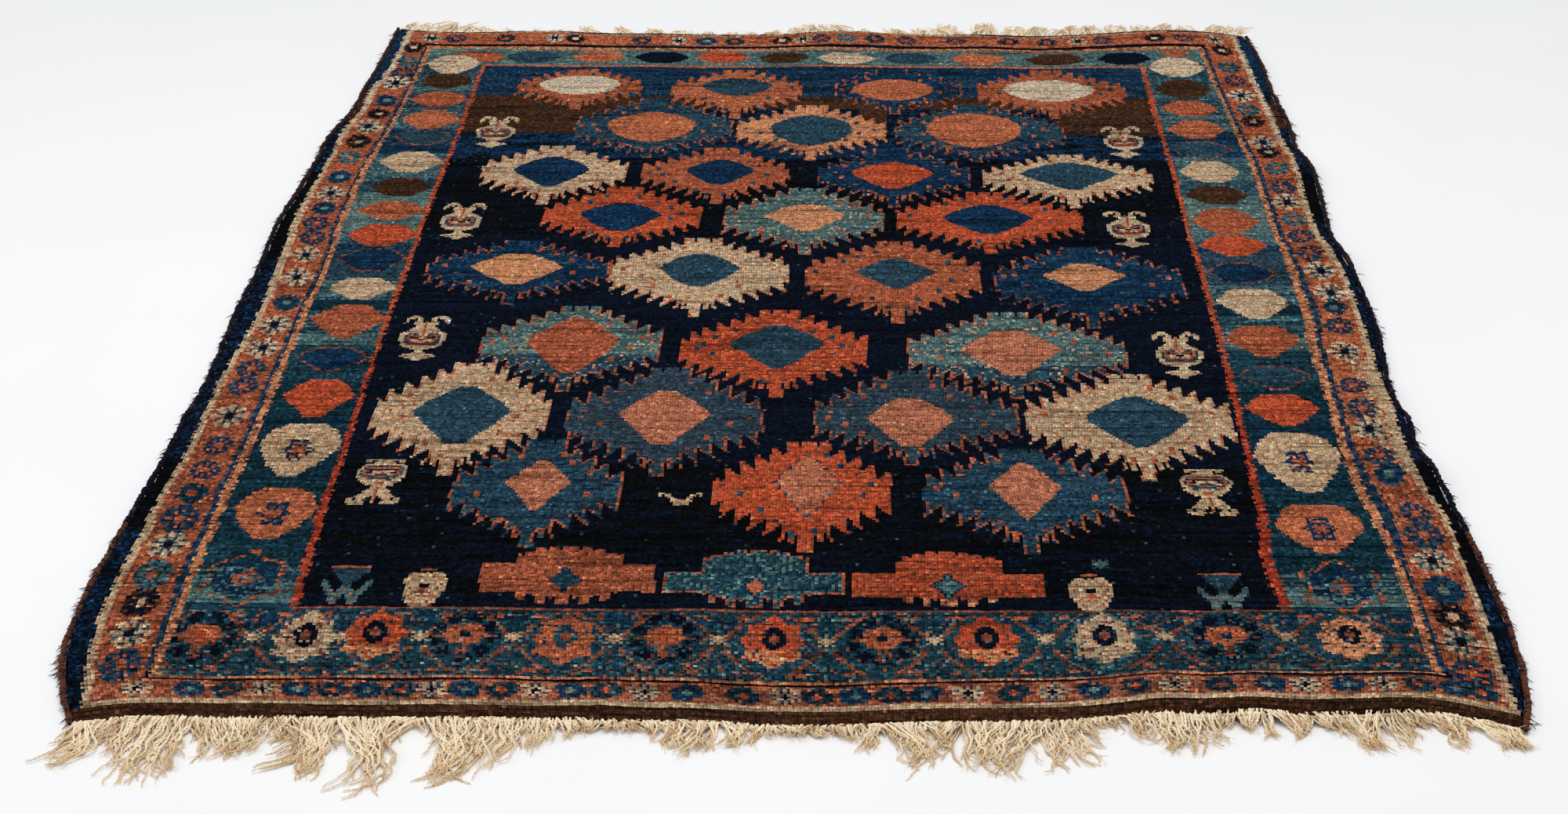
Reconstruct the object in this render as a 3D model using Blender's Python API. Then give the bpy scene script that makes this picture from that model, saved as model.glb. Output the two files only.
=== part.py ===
"""Oriental rug: a hand-knotted pile rug lying on a floor.

The rug is one knotted sheet with its pile up. Two overcast side cords bind its long
edges, and at each end the warps run on as a fringe of locks out of a narrow woven web.
Metres, +Z up. +X runs across the rug and +Y along it, away from its front fringe. The
origin is on the floor, at the middle of the whole rug's box.
"""

import math
import random
from collections import namedtuple

import bpy
from mathutils import Vector

MM = 0.001

# Driving sizes
RUG_FRONT = -1002 * MM
RUG_BACK = 965 * MM
RUG_HALF_WIDTH = 700 * MM
RUG_THICKNESS = 9 * MM
RIM_THICKNESS = 5 * MM
RIM_SLOPE = 9 * MM
JOINT_GAP = 0.4 * MM

SELVAGE_WIDTH = 8 * MM
SELVAGE_HEIGHT = 7 * MM

WEB_GAP = 1 * MM
WEB_DEPTH = 8 * MM
WEB_THICKNESS = 3.2 * MM
LOCK_TIP_HEIGHT = 1.8 * MM
LOCK_MIDDLE_HEIGHT = 3.4 * MM
LOCK_ROOT_SHARE = 0.74
FRONT_LOCKS = 116
BACK_LOCKS = 96
FRINGE_SEED = 7

# The sheet's grid, finer than its ripples
CELLS_ACROSS = 48
CELLS_ALONG = 66

# How far the waves of the ends reach into the sheet
END_WAVE_REACH = 330 * MM

# The long edges, with the side cords, in millimetres from the rug's middle line
SideStation = namedtuple("SideStation", "along left right")
SIDE_STATIONS = (
    SideStation(-1010, -697, 692),
    SideStation(-950, -720, 707),
    SideStation(-880, -739, 716),
    SideStation(-780, -746, 719),
    SideStation(-650, -741, 717),
    SideStation(-540, -732, 708),
    SideStation(-450, -733, 697),
    SideStation(-385, -733, 701),
    SideStation(-325, -729, 692),
    SideStation(-220, -730, 701),
    SideStation(-100, -734, 710),
    SideStation(20, -732, 708),
    SideStation(150, -735, 699),
    SideStation(290, -731, 706),
    SideStation(390, -727, 708),
    SideStation(470, -724, 699),
    SideStation(580, -710, 702),
    SideStation(700, -706, 697),
    SideStation(840, -699, 698),
    SideStation(960, -698, 691),
)

# The ends of the pile, in millimetres
EndStation = namedtuple("EndStation", "across front back")
END_STATIONS = (
    EndStation(-700, -1014, 981),
    EndStation(-640, -1003, 969),
    EndStation(-540, -1007, 965),
    EndStation(-400, -1002, 957),
    EndStation(-280, -1001, 962),
    EndStation(-200, -1007, 958),
    EndStation(-110, -1003, 959),
    EndStation(0, -1010, 969),
    EndStation(140, -1002, 961),
    EndStation(260, -997, 965),
    EndStation(345, -986, 958),
    EndStation(400, -993, 962),
    EndStation(450, -987, 967),
    EndStation(545, -996, 969),
    EndStation(610, -987, 969),
    EndStation(650, -989, 967),
    EndStation(700, -1007, 958),
)

# Ridges where the sheet stands off the floor: each starts at an edge and dies away
# inwards. "at" is where on that edge, "half" half its width, "reach" how far it runs in.
Ripple = namedtuple("Ripple", "edge at half reach height")
RIPPLES = (
    Ripple("front", -200, 70, 150, 5),
    Ripple("front", 400, 110, 170, 9),
    Ripple("front", 545, 120, 260, 12),
    Ripple("front", -520, 120, 110, 4),
    Ripple("back", -430, 130, 140, 6),
    Ripple("back", 60, 150, 120, 5),
    Ripple("back", 560, 160, 180, 7),
    Ripple("left", -560, 130, 90, 7),
    Ripple("left", 180, 150, 80, 5),
    Ripple("left", 520, 110, 90, 6),
    Ripple("right", -500, 90, 120, 10),
    Ripple("right", -330, 80, 90, 7),
    Ripple("right", 60, 120, 80, 5),
    Ripple("right", 400, 110, 80, 6),
)

# The crease left by folding the rug in half: where it crosses each long edge
CREASE_LEFT = 42 * MM
CREASE_RIGHT = 97 * MM
CREASE_HALF = 34 * MM
CREASE_HEIGHT = 3 * MM
CREASE_MIDDLE_SHARE = 0.45

# The fringes, in millimetres: how far the locks reach out and how far their tips lean
FringeStation = namedtuple("FringeStation", "across length lean")
FRONT_FRINGE = (
    FringeStation(-693, 71, -22),
    FringeStation(-668, 70, -22),
    FringeStation(-650, 33, -5),
    FringeStation(-622, 93, -10),
    FringeStation(-590, 72, 4),
    FringeStation(-540, 52, 0),
    FringeStation(-503, 54, -3),
    FringeStation(-484, 86, 3),
    FringeStation(-455, 74, 0),
    FringeStation(-434, 98, -2),
    FringeStation(-420, 54, 0),
    FringeStation(-406, 97, 0),
    FringeStation(-386, 30, -4),
    FringeStation(-345, 77, 4),
    FringeStation(-311, 86, 8),
    FringeStation(-270, 55, 0),
    FringeStation(-218, 21, 3),
    FringeStation(-192, 6, 0),
    FringeStation(-150, 16, 2),
    FringeStation(-118, 38, 0),
    FringeStation(-68, 42, 2),
    FringeStation(-20, 14, 0),
    FringeStation(50, 22, 2),
    FringeStation(88, 54, 0),
    FringeStation(108, 80, 2),
    FringeStation(126, 30, 0),
    FringeStation(163, 71, 4),
    FringeStation(180, 48, 3),
    FringeStation(208, 79, 2),
    FringeStation(226, 54, 0),
    FringeStation(252, 77, 0),
    FringeStation(283, 13, 2),
    FringeStation(340, 46, 4),
    FringeStation(376, 54, 8),
    FringeStation(402, 9, 2),
    FringeStation(446, 31, 6),
    FringeStation(500, 14, 6),
    FringeStation(542, 48, 10),
    FringeStation(590, 11, 11),
    FringeStation(626, 43, 14),
    FringeStation(682, 27, 7),
)
BACK_FRINGE = (
    FringeStation(-690, 34, 4),
    FringeStation(-655, 50, -6),
    FringeStation(-610, 46, 6),
    FringeStation(-540, 32, -4),
    FringeStation(-450, 26, 6),
    FringeStation(-370, 42, 4),
    FringeStation(-290, 32, -6),
    FringeStation(-170, 18, 4),
    FringeStation(-60, 34, 4),
    FringeStation(30, 54, -4),
    FringeStation(90, 34, 4),
    FringeStation(160, 32, 4),
    FringeStation(240, 66, 8),
    FringeStation(320, 58, 10),
    FringeStation(400, 50, 6),
    FringeStation(520, 54, 8),
    FringeStation(600, 48, 10),
    FringeStation(660, 66, 18),
    FringeStation(690, 40, 14),
)


def clear_scene():
    """Leave nothing in the file but what is modelled here."""
    for old in list(bpy.data.objects):
        bpy.data.objects.remove(old)


def from_table(rows, column, at):
    """A table's column at a place between its rows, on a smooth curve, in metres."""
    places = [row[0] * MM for row in rows]
    values = [getattr(row, column) * MM for row in rows]
    if at <= places[0]:
        return values[0]
    if at >= places[-1]:
        return values[-1]
    k = next(i for i in range(len(rows) - 1) if at < places[i + 1])
    span = places[k + 1] - places[k]
    share = (at - places[k]) / span

    def slope(i):
        low, high = max(i - 1, 0), min(i + 1, len(rows) - 1)
        return (values[high] - values[low]) / (places[high] - places[low])

    rise = values[k + 1] - values[k]
    start, end = slope(k) * span, slope(k + 1) * span
    return (
        values[k]
        + start * share
        + (3 * rise - 2 * start - end) * share**2
        + (start + end - 2 * rise) * share**3
    )


def bell(offset, half):
    """1 at the middle of a ridge, 0 from half its width outwards."""
    if abs(offset) >= half:
        return 0.0
    return math.cos(0.5 * math.pi * offset / half) ** 2


def dying_away(distance, reach):
    """1 at an edge, easing to 0 where a ridge ends inside the sheet."""
    share = min(max(1 - distance / reach, 0.0), 1.0)
    return share * share * (3 - 2 * share)


def left_of(y):
    """The pile's left edge at a place along the rug, inside its side cord."""
    return from_table(SIDE_STATIONS, "left", y) + SELVAGE_WIDTH + JOINT_GAP


def right_of(y):
    """The pile's right edge at a place along the rug, inside its side cord."""
    return from_table(SIDE_STATIONS, "right", y) - SELVAGE_WIDTH - JOINT_GAP


def place_on_sheet(across, along):
    """Where a share of the width and a share of the length lie on the floor."""
    level = RUG_FRONT + along * (RUG_BACK - RUG_FRONT)
    straight = (2 * across - 1) * RUG_HALF_WIDTH
    front_wave = from_table(END_STATIONS, "front", straight) - RUG_FRONT
    back_wave = from_table(END_STATIONS, "back", straight) - RUG_BACK
    y = (
        level
        + front_wave * dying_away(level - RUG_FRONT, END_WAVE_REACH)
        + back_wave * dying_away(RUG_BACK - level, END_WAVE_REACH)
    )
    left, right = left_of(level), right_of(level)
    return left + across * (right - left), y


def lift(across, along):
    """How far the sheet stands off the floor there."""
    x, y = place_on_sheet(across, along)
    level = RUG_FRONT + along * (RUG_BACK - RUG_FRONT)
    inwards = {
        "front": (x, level - RUG_FRONT),
        "back": (x, RUG_BACK - level),
        "left": (y, x - left_of(level)),
        "right": (y, right_of(level) - x),
    }
    height = 0.0
    for ripple in RIPPLES:
        place, distance = inwards[ripple.edge]
        height += (
            ripple.height
            * MM
            * bell(place - ripple.at * MM, ripple.half * MM)
            * dying_away(distance, ripple.reach * MM)
        )
    crease_line = CREASE_LEFT + across * (CREASE_RIGHT - CREASE_LEFT)
    from_middle = abs(2 * across - 1)
    share = CREASE_MIDDLE_SHARE + (1 - CREASE_MIDDLE_SHARE) * from_middle
    return height + CREASE_HEIGHT * share * bell(y - crease_line, CREASE_HALF)


def stations(cells, length):
    """Shares from 0 to 1, with one station close to each end for the sloped rim."""
    rim = RIM_SLOPE / length
    inner = [rim + (1 - 2 * rim) * k / (cells - 2) for k in range(cells - 1)]
    return [0.0, *inner, 1.0]


ACROSS = stations(CELLS_ACROSS, 2 * RUG_HALF_WIDTH)
ALONG = stations(CELLS_ALONG, RUG_BACK - RUG_FRONT)


def new_object(name, points, faces, material):
    """A named mesh object with one material."""
    mesh = bpy.data.meshes.new(name)
    mesh.from_pydata(points, [], faces)
    mesh.validate()
    mesh.materials.append(material)
    mesh.shade_smooth()
    mesh.set_sharp_from_angle(angle=math.radians(35))
    made = bpy.data.objects.new(name, mesh)
    bpy.context.scene.collection.objects.link(made)
    return made


def new_material(name, colour, roughness):
    """A plain cloth or yarn finish."""
    material = bpy.data.materials.new(name)
    material.use_nodes = True
    shader = material.node_tree.nodes["Principled BSDF"]
    shader.inputs["Base Color"].default_value = (*colour, 1.0)
    shader.inputs["Roughness"].default_value = roughness
    shader.inputs["Metallic"].default_value = 0.0
    return material


def make_pile():
    """The knotted sheet: a grid of points on top, the same grid below, and the rim."""
    wide, long = len(ACROSS), len(ALONG)
    top, bottom = [], []
    for j, along in enumerate(ALONG):
        for i, across in enumerate(ACROSS):
            x, y = place_on_sheet(across, along)
            at_rim = i in (0, wide - 1) or j in (0, long - 1)
            thickness = RIM_THICKNESS if at_rim else RUG_THICKNESS
            height = lift(across, along)
            top.append((x, y, height + thickness))
            bottom.append((x, y, height))

    below = wide * long
    faces = []
    for j in range(long - 1):
        for i in range(wide - 1):
            a = j * wide + i
            b, c, d = a + 1, a + 1 + wide, a + wide
            faces.append((a, b, c, d))
            faces.append((below + d, below + c, below + b, below + a))

    front = [i for i in range(wide)]
    right = [j * wide + wide - 1 for j in range(long)]
    back = [(long - 1) * wide + i for i in reversed(range(wide))]
    left = [j * wide for j in reversed(range(long))]
    for side in (front, right, back, left):
        for a, b in zip(side, side[1:]):
            faces.append((below + a, below + b, b, a))
    colour = (0.045, 0.075, 0.14)
    return new_object("rug_pile", top + bottom, faces, new_material("pile_wool", colour, 0.9))


def make_selvage(name, side):
    """An overcast side cord: six-sided, flat below, one ring for each row of the sheet."""
    across = 0.0 if side < 0 else 1.0
    # Outwards from the pile as a share of the width, and up as a share of the height
    section = ((0.0, 0.12), (0.12, 0.0), (0.86, 0.0), (1.0, 0.45), (0.72, 1.0), (0.16, 0.92))
    points, faces = [], []
    for along in ALONG:
        x, y = place_on_sheet(across, along)
        height = lift(across, along)
        for out, up in section:
            reach = side * (JOINT_GAP + out * SELVAGE_WIDTH)
            points.append((x + reach, y, height + up * SELVAGE_HEIGHT))
    sides = len(section)
    for ring in range(len(ALONG) - 1):
        for k in range(sides):
            a, b = ring * sides + k, ring * sides + (k + 1) % sides
            quad = (a, b, b + sides, a + sides)
            faces.append(quad if side < 0 else quad[::-1])
    first = tuple(range(sides))
    last = tuple(range((len(ALONG) - 1) * sides, len(ALONG) * sides))
    faces += [first[::-1], last] if side < 0 else [first, last[::-1]]
    colour = (0.10, 0.055, 0.035)
    return new_object(name, points, faces, new_material(name + "_wool", colour, 0.92))


def edge_line(end, x):
    """(y, lift) of the sheet's front or back rim at x, straight between its grid points."""
    along = 0.0 if end < 0 else 1.0
    corners = [(*place_on_sheet(across, along), lift(across, along)) for across in ACROSS]
    k = next(i for i in range(len(corners) - 1) if x <= corners[i + 1][0] or i == len(corners) - 2)
    (x0, y0, z0), (x1, y1, z1) = corners[k], corners[k + 1]
    share = (x - x0) / (x1 - x0)
    return y0 + share * (y1 - y0), z0 + share * (z1 - z0)


def lock_rings(root, length, lean, width, end, start_height):
    """Four rings of four points and a tip: a lock that drops to the floor and lies there."""
    x0, y0 = root
    # Share of the length, share of the width, top height, height above the floor below
    steps = (
        (0.30, 0.96, LOCK_MIDDLE_HEIGHT, 0.0),
        (0.66, 0.72, LOCK_MIDDLE_HEIGHT * 0.85, 0.0),
        (0.92, 0.42, LOCK_TIP_HEIGHT, 0.0),
    )
    rings = []
    for share, breadth, top, base in steps:
        x = x0 + lean * share**1.6
        y = y0 + end * length * share
        half = 0.5 * width * breadth
        rings.append(
            [
                (x - half, y, base),
                (x + half, y, base),
                (x + 0.72 * half, y, base + top),
                (x - 0.72 * half, y, base + top),
            ]
        )
    tip = (x0 + lean, y0 + end * length, 0.3 * LOCK_TIP_HEIGHT)
    return rings, tip


def make_fringe(name, end, table, count, colour):
    """A narrow woven web along one end, with its locks growing out of its outer wall."""
    rng = random.Random(FRINGE_SEED + end)
    along = 0.0 if end < 0 else 1.0
    x_first = place_on_sheet(0.0, along)[0] + 3 * MM
    x_last = place_on_sheet(1.0, along)[0] - 3 * MM
    pitch = (x_last - x_first) / count
    points, faces = [], []

    def add(point):
        points.append(point)
        return len(points) - 1

    def wall_points(x, depth):
        y, height = edge_line(end, x)
        y += end * (WEB_GAP + depth)
        return add((x, y, height)), add((x, y, height + WEB_THICKNESS))

    def face(*corners):
        faces.append(corners if end < 0 else corners[::-1])

    inner = wall_points(x_first, 0.0)
    outer = wall_points(x_first, WEB_DEPTH)
    face(inner[0], outer[0], outer[1], inner[1])
    for k in range(count):
        start = x_first + k * pitch
        root_left = wall_points(start + 0.5 * (1 - LOCK_ROOT_SHARE) * pitch, WEB_DEPTH)
        root_right = wall_points(start + 0.5 * (1 + LOCK_ROOT_SHARE) * pitch, WEB_DEPTH)
        next_outer = wall_points(start + pitch, WEB_DEPTH)
        next_inner = wall_points(start + pitch, 0.0)
        # The web: below, above, its inner wall, and its outer wall beside the root
        face(inner[0], next_inner[0], next_outer[0], root_right[0], root_left[0], outer[0])
        face(inner[1], outer[1], root_left[1], root_right[1], next_outer[1], next_inner[1])
        face(inner[1], next_inner[1], next_inner[0], inner[0])
        face(outer[0], root_left[0], root_left[1], outer[1])
        face(root_right[0], next_outer[0], next_outer[1], root_right[1])
        # The lock
        middle = start + 0.5 * pitch
        y, height = edge_line(end, middle)
        length = from_table(table, "length", middle) * rng.uniform(0.9, 1.05)
        lean = from_table(table, "lean", middle)
        root = (middle, y + end * (WEB_GAP + WEB_DEPTH))
        width = LOCK_ROOT_SHARE * pitch
        rings, tip = lock_rings(root, length, lean, width, end, height)
        ring = [root_left[0], root_right[0], root_right[1], root_left[1]]
        for corners in rings:
            following = [add(corner) for corner in corners]
            for i in range(4):
                j = (i + 1) % 4
                face(ring[i], ring[j], following[j], following[i])
            ring = following
        point = add(tip)
        for i in range(4):
            face(ring[i], ring[(i + 1) % 4], point)
        inner, outer = next_inner, next_outer
    face(outer[0], inner[0], inner[1], outer[1])
    return new_object(name, points, faces, new_material(name + "_cotton", colour, 0.88))


def stand_at_origin(parts):
    """Move the whole rug so that its box's middle is over the origin."""
    corners = [vertex.co for part in parts for vertex in part.data.vertices]
    low = Vector(min(c[k] for c in corners) for k in range(3))
    high = Vector(max(c[k] for c in corners) for k in range(3))
    shift = Vector((-(low.x + high.x) / 2, -(low.y + high.y) / 2, 0.0))
    for part in parts:
        part.location = shift


def main():
    clear_scene()
    stand_at_origin(
        [
            make_pile(),
            make_selvage("selvage_left", -1),
            make_selvage("selvage_right", 1),
            make_fringe("fringe_front", -1, FRONT_FRINGE, FRONT_LOCKS, (0.62, 0.50, 0.36)),
            make_fringe("fringe_back", 1, BACK_FRINGE, BACK_LOCKS, (0.60, 0.49, 0.36)),
        ]
    )


main()
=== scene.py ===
# %% [markdown]
# # An old hand-knotted rug on a studio floor
# This notebook dresses a measured solid model of a rug so that it looks like the real
# thing: wool pile tied knot by knot, overcast side cords, and a cotton fringe of plied
# warp yarns at each end. The solid frame is loaded first. Every visible piece is then
# built in the same frame, in metres, and takes the place of the solid it stands for.

# %% Load the frame
import math
from collections import namedtuple

import bpy
import numpy as np
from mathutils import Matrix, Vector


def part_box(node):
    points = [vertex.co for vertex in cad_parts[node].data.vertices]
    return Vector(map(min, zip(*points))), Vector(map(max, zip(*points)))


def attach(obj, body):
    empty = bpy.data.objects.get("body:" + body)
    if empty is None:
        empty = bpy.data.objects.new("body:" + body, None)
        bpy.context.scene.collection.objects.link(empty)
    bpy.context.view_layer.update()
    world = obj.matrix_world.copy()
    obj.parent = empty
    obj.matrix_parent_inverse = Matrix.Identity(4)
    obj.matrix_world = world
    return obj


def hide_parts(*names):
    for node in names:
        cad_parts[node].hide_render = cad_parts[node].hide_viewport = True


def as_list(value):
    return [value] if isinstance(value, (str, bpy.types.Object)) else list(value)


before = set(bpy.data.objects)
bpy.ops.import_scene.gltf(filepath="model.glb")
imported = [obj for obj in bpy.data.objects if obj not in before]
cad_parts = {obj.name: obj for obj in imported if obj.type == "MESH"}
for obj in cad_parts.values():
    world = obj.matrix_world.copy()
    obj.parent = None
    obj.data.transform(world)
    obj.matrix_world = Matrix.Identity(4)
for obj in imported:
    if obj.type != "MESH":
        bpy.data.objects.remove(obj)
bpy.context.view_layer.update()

# %% [markdown]
# ## The sheet's own measures
# A hand-knotted rug is never quite square: its sides swell and pull in, its ends wave,
# and its edges ripple where they don't lie down. The knotted sheet, the side cords and
# both fringes all follow that one uneven outline, so it is kept once, in short tables
# read off the floor in millimetres, and every piece asks the same functions for it.
# A drawn outline for each piece would let them drift apart.

# %% Sizes
MM = 0.001

RUG_FRONT = -1002 * MM
RUG_BACK = 965 * MM
RUG_HALF_WIDTH = 700 * MM
RUG_THICKNESS = 9 * MM
RIM_THICKNESS = 5 * MM
RIM_SLOPE = 9 * MM
JOINT_GAP = 0.4 * MM
SELVAGE_WIDTH = 8 * MM
SKIRT_HEIGHT = 0.4 * MM
END_WAVE_REACH = 330 * MM


def table(kind, *rows):
    """A short table: each row's values under the column names of its kind."""
    return tuple(kind(*row) for row in rows)


SideStation = namedtuple("SideStation", "along left right")
SIDE_STATIONS = table(
    SideStation,
    (-1010, -697, 692), (-950, -720, 707), (-880, -739, 716), (-780, -746, 719),
    (-650, -741, 717), (-540, -732, 708), (-450, -733, 697), (-385, -733, 701), (-325, -729, 692),
    (-220, -730, 701), (-100, -734, 710), (20, -732, 708), (150, -735, 699), (290, -731, 706),
    (390, -727, 708), (470, -724, 699), (580, -710, 702), (700, -706, 697), (840, -699, 698),
    (960, -698, 691),
)

EndStation = namedtuple("EndStation", "across front back")
END_STATIONS = table(
    EndStation,
    (-700, -1014, 981), (-640, -1003, 969), (-540, -1007, 965), (-400, -1002, 957),
    (-280, -1001, 962), (-200, -1007, 958), (-110, -1003, 959), (0, -1010, 969),
    (140, -1002, 961), (260, -997, 965), (345, -986, 958), (400, -993, 962), (450, -987, 967),
    (545, -996, 969), (610, -987, 969), (650, -989, 967), (700, -1007, 958),
)

Ripple = namedtuple("Ripple", "edge at half reach height")
RIPPLES = table(
    Ripple,
    ("front", -200, 70, 150, 5), ("front", 400, 110, 170, 9), ("front", 545, 120, 260, 12),
    ("front", -520, 120, 110, 4), ("back", -430, 130, 140, 6), ("back", 60, 150, 120, 5),
    ("back", 560, 160, 180, 7), ("left", -560, 130, 90, 7), ("left", 180, 150, 80, 5),
    ("left", 520, 110, 90, 6), ("right", -500, 90, 120, 10), ("right", -330, 80, 90, 7),
    ("right", 60, 120, 80, 5), ("right", 400, 110, 80, 6),
)

CREASE_LEFT = 42 * MM
CREASE_RIGHT = 97 * MM
CREASE_HALF = 34 * MM
CREASE_HEIGHT = 3 * MM
CREASE_MIDDLE_SHARE = 0.45

# %% The sheet's outline and its rise off the floor
def from_table(rows, column, at):
    """A table's column at places between its rows, on a smooth curve, in metres."""
    places = np.array([row[0] for row in rows]) * MM
    values = np.array([getattr(row, column) for row in rows]) * MM
    count = len(rows)
    before = np.maximum(np.arange(count) - 1, 0)
    after = np.minimum(np.arange(count) + 1, count - 1)
    slopes = (values[after] - values[before]) / (places[after] - places[before])
    at = np.clip(at, places[0], places[-1])
    k = np.clip(np.searchsorted(places, at, side="right") - 1, 0, count - 2)
    span = places[k + 1] - places[k]
    share = (at - places[k]) / span
    rise = values[k + 1] - values[k]
    start, end = slopes[k] * span, slopes[k + 1] * span
    curve = (3 * rise - 2 * start - end) * share**2 + (start + end - 2 * rise) * share**3
    return values[k] + start * share + curve


def bell(offset, half):
    """1 at the middle of a ridge, 0 from half its width outwards."""
    near = np.abs(offset) < half
    return np.where(near, np.cos(0.5 * np.pi * np.clip(offset / half, -1, 1)) ** 2, 0.0)


def dying_away(distance, reach):
    """1 at an edge, easing to 0 where a ridge ends inside the sheet."""
    share = np.clip(1 - distance / reach, 0.0, 1.0)
    return share * share * (3 - 2 * share)


def left_of(y):
    return from_table(SIDE_STATIONS, "left", y) + SELVAGE_WIDTH + JOINT_GAP


def right_of(y):
    return from_table(SIDE_STATIONS, "right", y) - SELVAGE_WIDTH - JOINT_GAP


def level_of(along):
    """How far along an even rug this share of the rows would lie."""
    return RUG_FRONT + along * (RUG_BACK - RUG_FRONT)


def place_on_sheet(across, along):
    """Where a share of the width and a share of the length lie on the floor."""
    level = level_of(along)
    straight = (2 * across - 1) * RUG_HALF_WIDTH
    front_wave = from_table(END_STATIONS, "front", straight) - RUG_FRONT
    back_wave = from_table(END_STATIONS, "back", straight) - RUG_BACK
    y = (
        level
        + front_wave * dying_away(level - RUG_FRONT, END_WAVE_REACH)
        + back_wave * dying_away(RUG_BACK - level, END_WAVE_REACH)
    )
    left, right = left_of(level), right_of(level)
    return left + across * (right - left), y


def lift(across, along):
    """How far the sheet stands off the floor there."""
    x, y = place_on_sheet(across, along)
    level = level_of(along)
    inwards = {
        "front": (x, level - RUG_FRONT),
        "back": (x, RUG_BACK - level),
        "left": (y, x - left_of(level)),
        "right": (y, right_of(level) - x),
    }
    height = np.zeros(np.broadcast(x, y).shape)
    for ripple in RIPPLES:
        place, distance = inwards[ripple.edge]
        ridge = bell(place - ripple.at * MM, ripple.half * MM)
        height += ripple.height * MM * ridge * dying_away(distance, ripple.reach * MM)
    crease_line = CREASE_LEFT + across * (CREASE_RIGHT - CREASE_LEFT)
    share = CREASE_MIDDLE_SHARE + (1 - CREASE_MIDDLE_SHARE) * np.abs(2 * across - 1)
    return height + CREASE_HEIGHT * share * bell(y - crease_line, CREASE_HALF)


# %% [markdown]
# ## The knots as a chart
# Every colour on a pile rug is a knot, tied in rows like the squares of a chart. The
# pattern could be drawn by shader maths, but a weaver's steps, serrated edges and
# stray knots would be lost. Here each knot is one square of a numpy array: small
# painters fill it in the order a weaver thinks of it, bands first, then ground, then
# medallions, and later every square becomes one face of the pile. The motifs are
# traditional ones, laid out from short tables of places and sizes in millimetres.

# %% The grid of knots
COLUMNS, ROWS = 414, 512
CHART_SEED = 11

knot_across = (np.arange(COLUMNS) + 0.5) / COLUMNS
knot_along = (np.arange(ROWS) + 0.5) / ROWS
KNOT_X, KNOT_Y = place_on_sheet(knot_across[None, :], knot_along[:, None])
LEVEL = np.repeat(level_of(knot_along)[:, None], COLUMNS, axis=1)
KNOT_WIDTH = 2 * RUG_HALF_WIDTH / COLUMNS
KNOT_HEIGHT = (RUG_BACK - RUG_FRONT) / ROWS
print(f"{COLUMNS * ROWS} knots, each {KNOT_WIDTH / MM:.1f} x {KNOT_HEIGHT / MM:.1f} mm")

# %% The yarns
# Screen colours from 0 to 255; "stripe" is how much a dye lot drifts from row to row,
# and "low" how far the iron in a dark dye has let that pile wear down, in millimetres.
Yarn = namedtuple("Yarn", "name red green blue stripe low")
YARNS = table(
    Yarn,
    ("navy", 7, 16, 32, 0.25, 0.0), ("indigo", 18, 50, 80, 0.20, 0.0),
    ("blue", 45, 74, 90, 0.16, 0.0), ("deep", 17, 48, 60, 0.20, 0.0),
    ("petrol", 32, 68, 82, 0.16, 0.0), ("teal", 84, 114, 116, 0.14, 0.0),
    ("sea", 112, 138, 128, 0.12, 0.0), ("slate", 54, 70, 82, 0.14, 0.0),
    ("brick", 146, 80, 58, 0.12, 0.0), ("rust", 182, 96, 65, 0.09, 0.0),
    ("salmon", 200, 112, 76, 0.08, 0.0), ("madder", 198, 84, 52, 0.09, 0.0),
    ("crimson", 176, 60, 40, 0.12, 0.0), ("peach", 222, 150, 106, 0.06, 0.0),
    ("moss", 132, 148, 84, 0.12, 0.0), ("rose", 197, 120, 90, 0.08, 0.0),
    ("wheat", 200, 166, 130, 0.07, 0.0), ("cream", 216, 184, 148, 0.06, 0.0),
    ("ivory", 240, 214, 184, 0.05, 0.0), ("brown", 72, 45, 29, 0.20, 1.2),
    ("black", 6, 8, 12, 0.14, 1.4),
)
YARN = {yarn.name: k for k, yarn in enumerate(YARNS)}
chart = np.full((ROWS, COLUMNS), YARN["navy"], dtype=np.int8)


def dye(where, name):
    """Tie every knot of a mask in one yarn."""
    chart[where] = YARN[name]


# %% [markdown]
# ## Bands and borders
# The borders are rectangles inside rectangles, so they are dyed from the outside in
# and each one covers the middle of the last. Their long lines wander by a centimetre
# down the loom, which the tables keep; straight lines would look machine-made.

# %% The border lines
SideLine = namedtuple("SideLine", "along cream guard blue pink main red field")
LEFT_LINES = table(
    SideLine,
    (-1010, -690, -682, -640, -636, -628, -520, -512),
    (-970, -692, -683, -642, -638, -630, -520, -512),
    (-900, -706, -698, -645, -639, -632, -520, -512),
    (-780, -716, -707, -650, -642, -633, -526, -517),
    (-700, -713, -704, -651, -643, -634, -528, -519),
    (-600, -710, -702, -651, -644, -634, -531, -523),
    (-500, -704, -697, -649, -642, -632, -531, -523),
    (-300, -707, -699, -650, -643, -634, -534, -528),
    (-100, -698, -690, -649, -644, -635, -536, -530),
    (0, -702, -692, -647, -641, -634, -536, -529),
    (200, -709, -699, -653, -648, -640, -537, -531),
    (400, -704, -697, -651, -647, -639, -536, -529),
    (500, -700, -691, -644, -638, -633, -533, -527),
    (600, -690, -680, -639, -633, -627, -533, -527),
    (700, -689, -678, -637, -631, -626, -533, -527),
    (750, -679, -670, -636, -631, -625, -533, -527),
    (900, -674, -664, -636, -630, -623, -534, -528),
)
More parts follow.
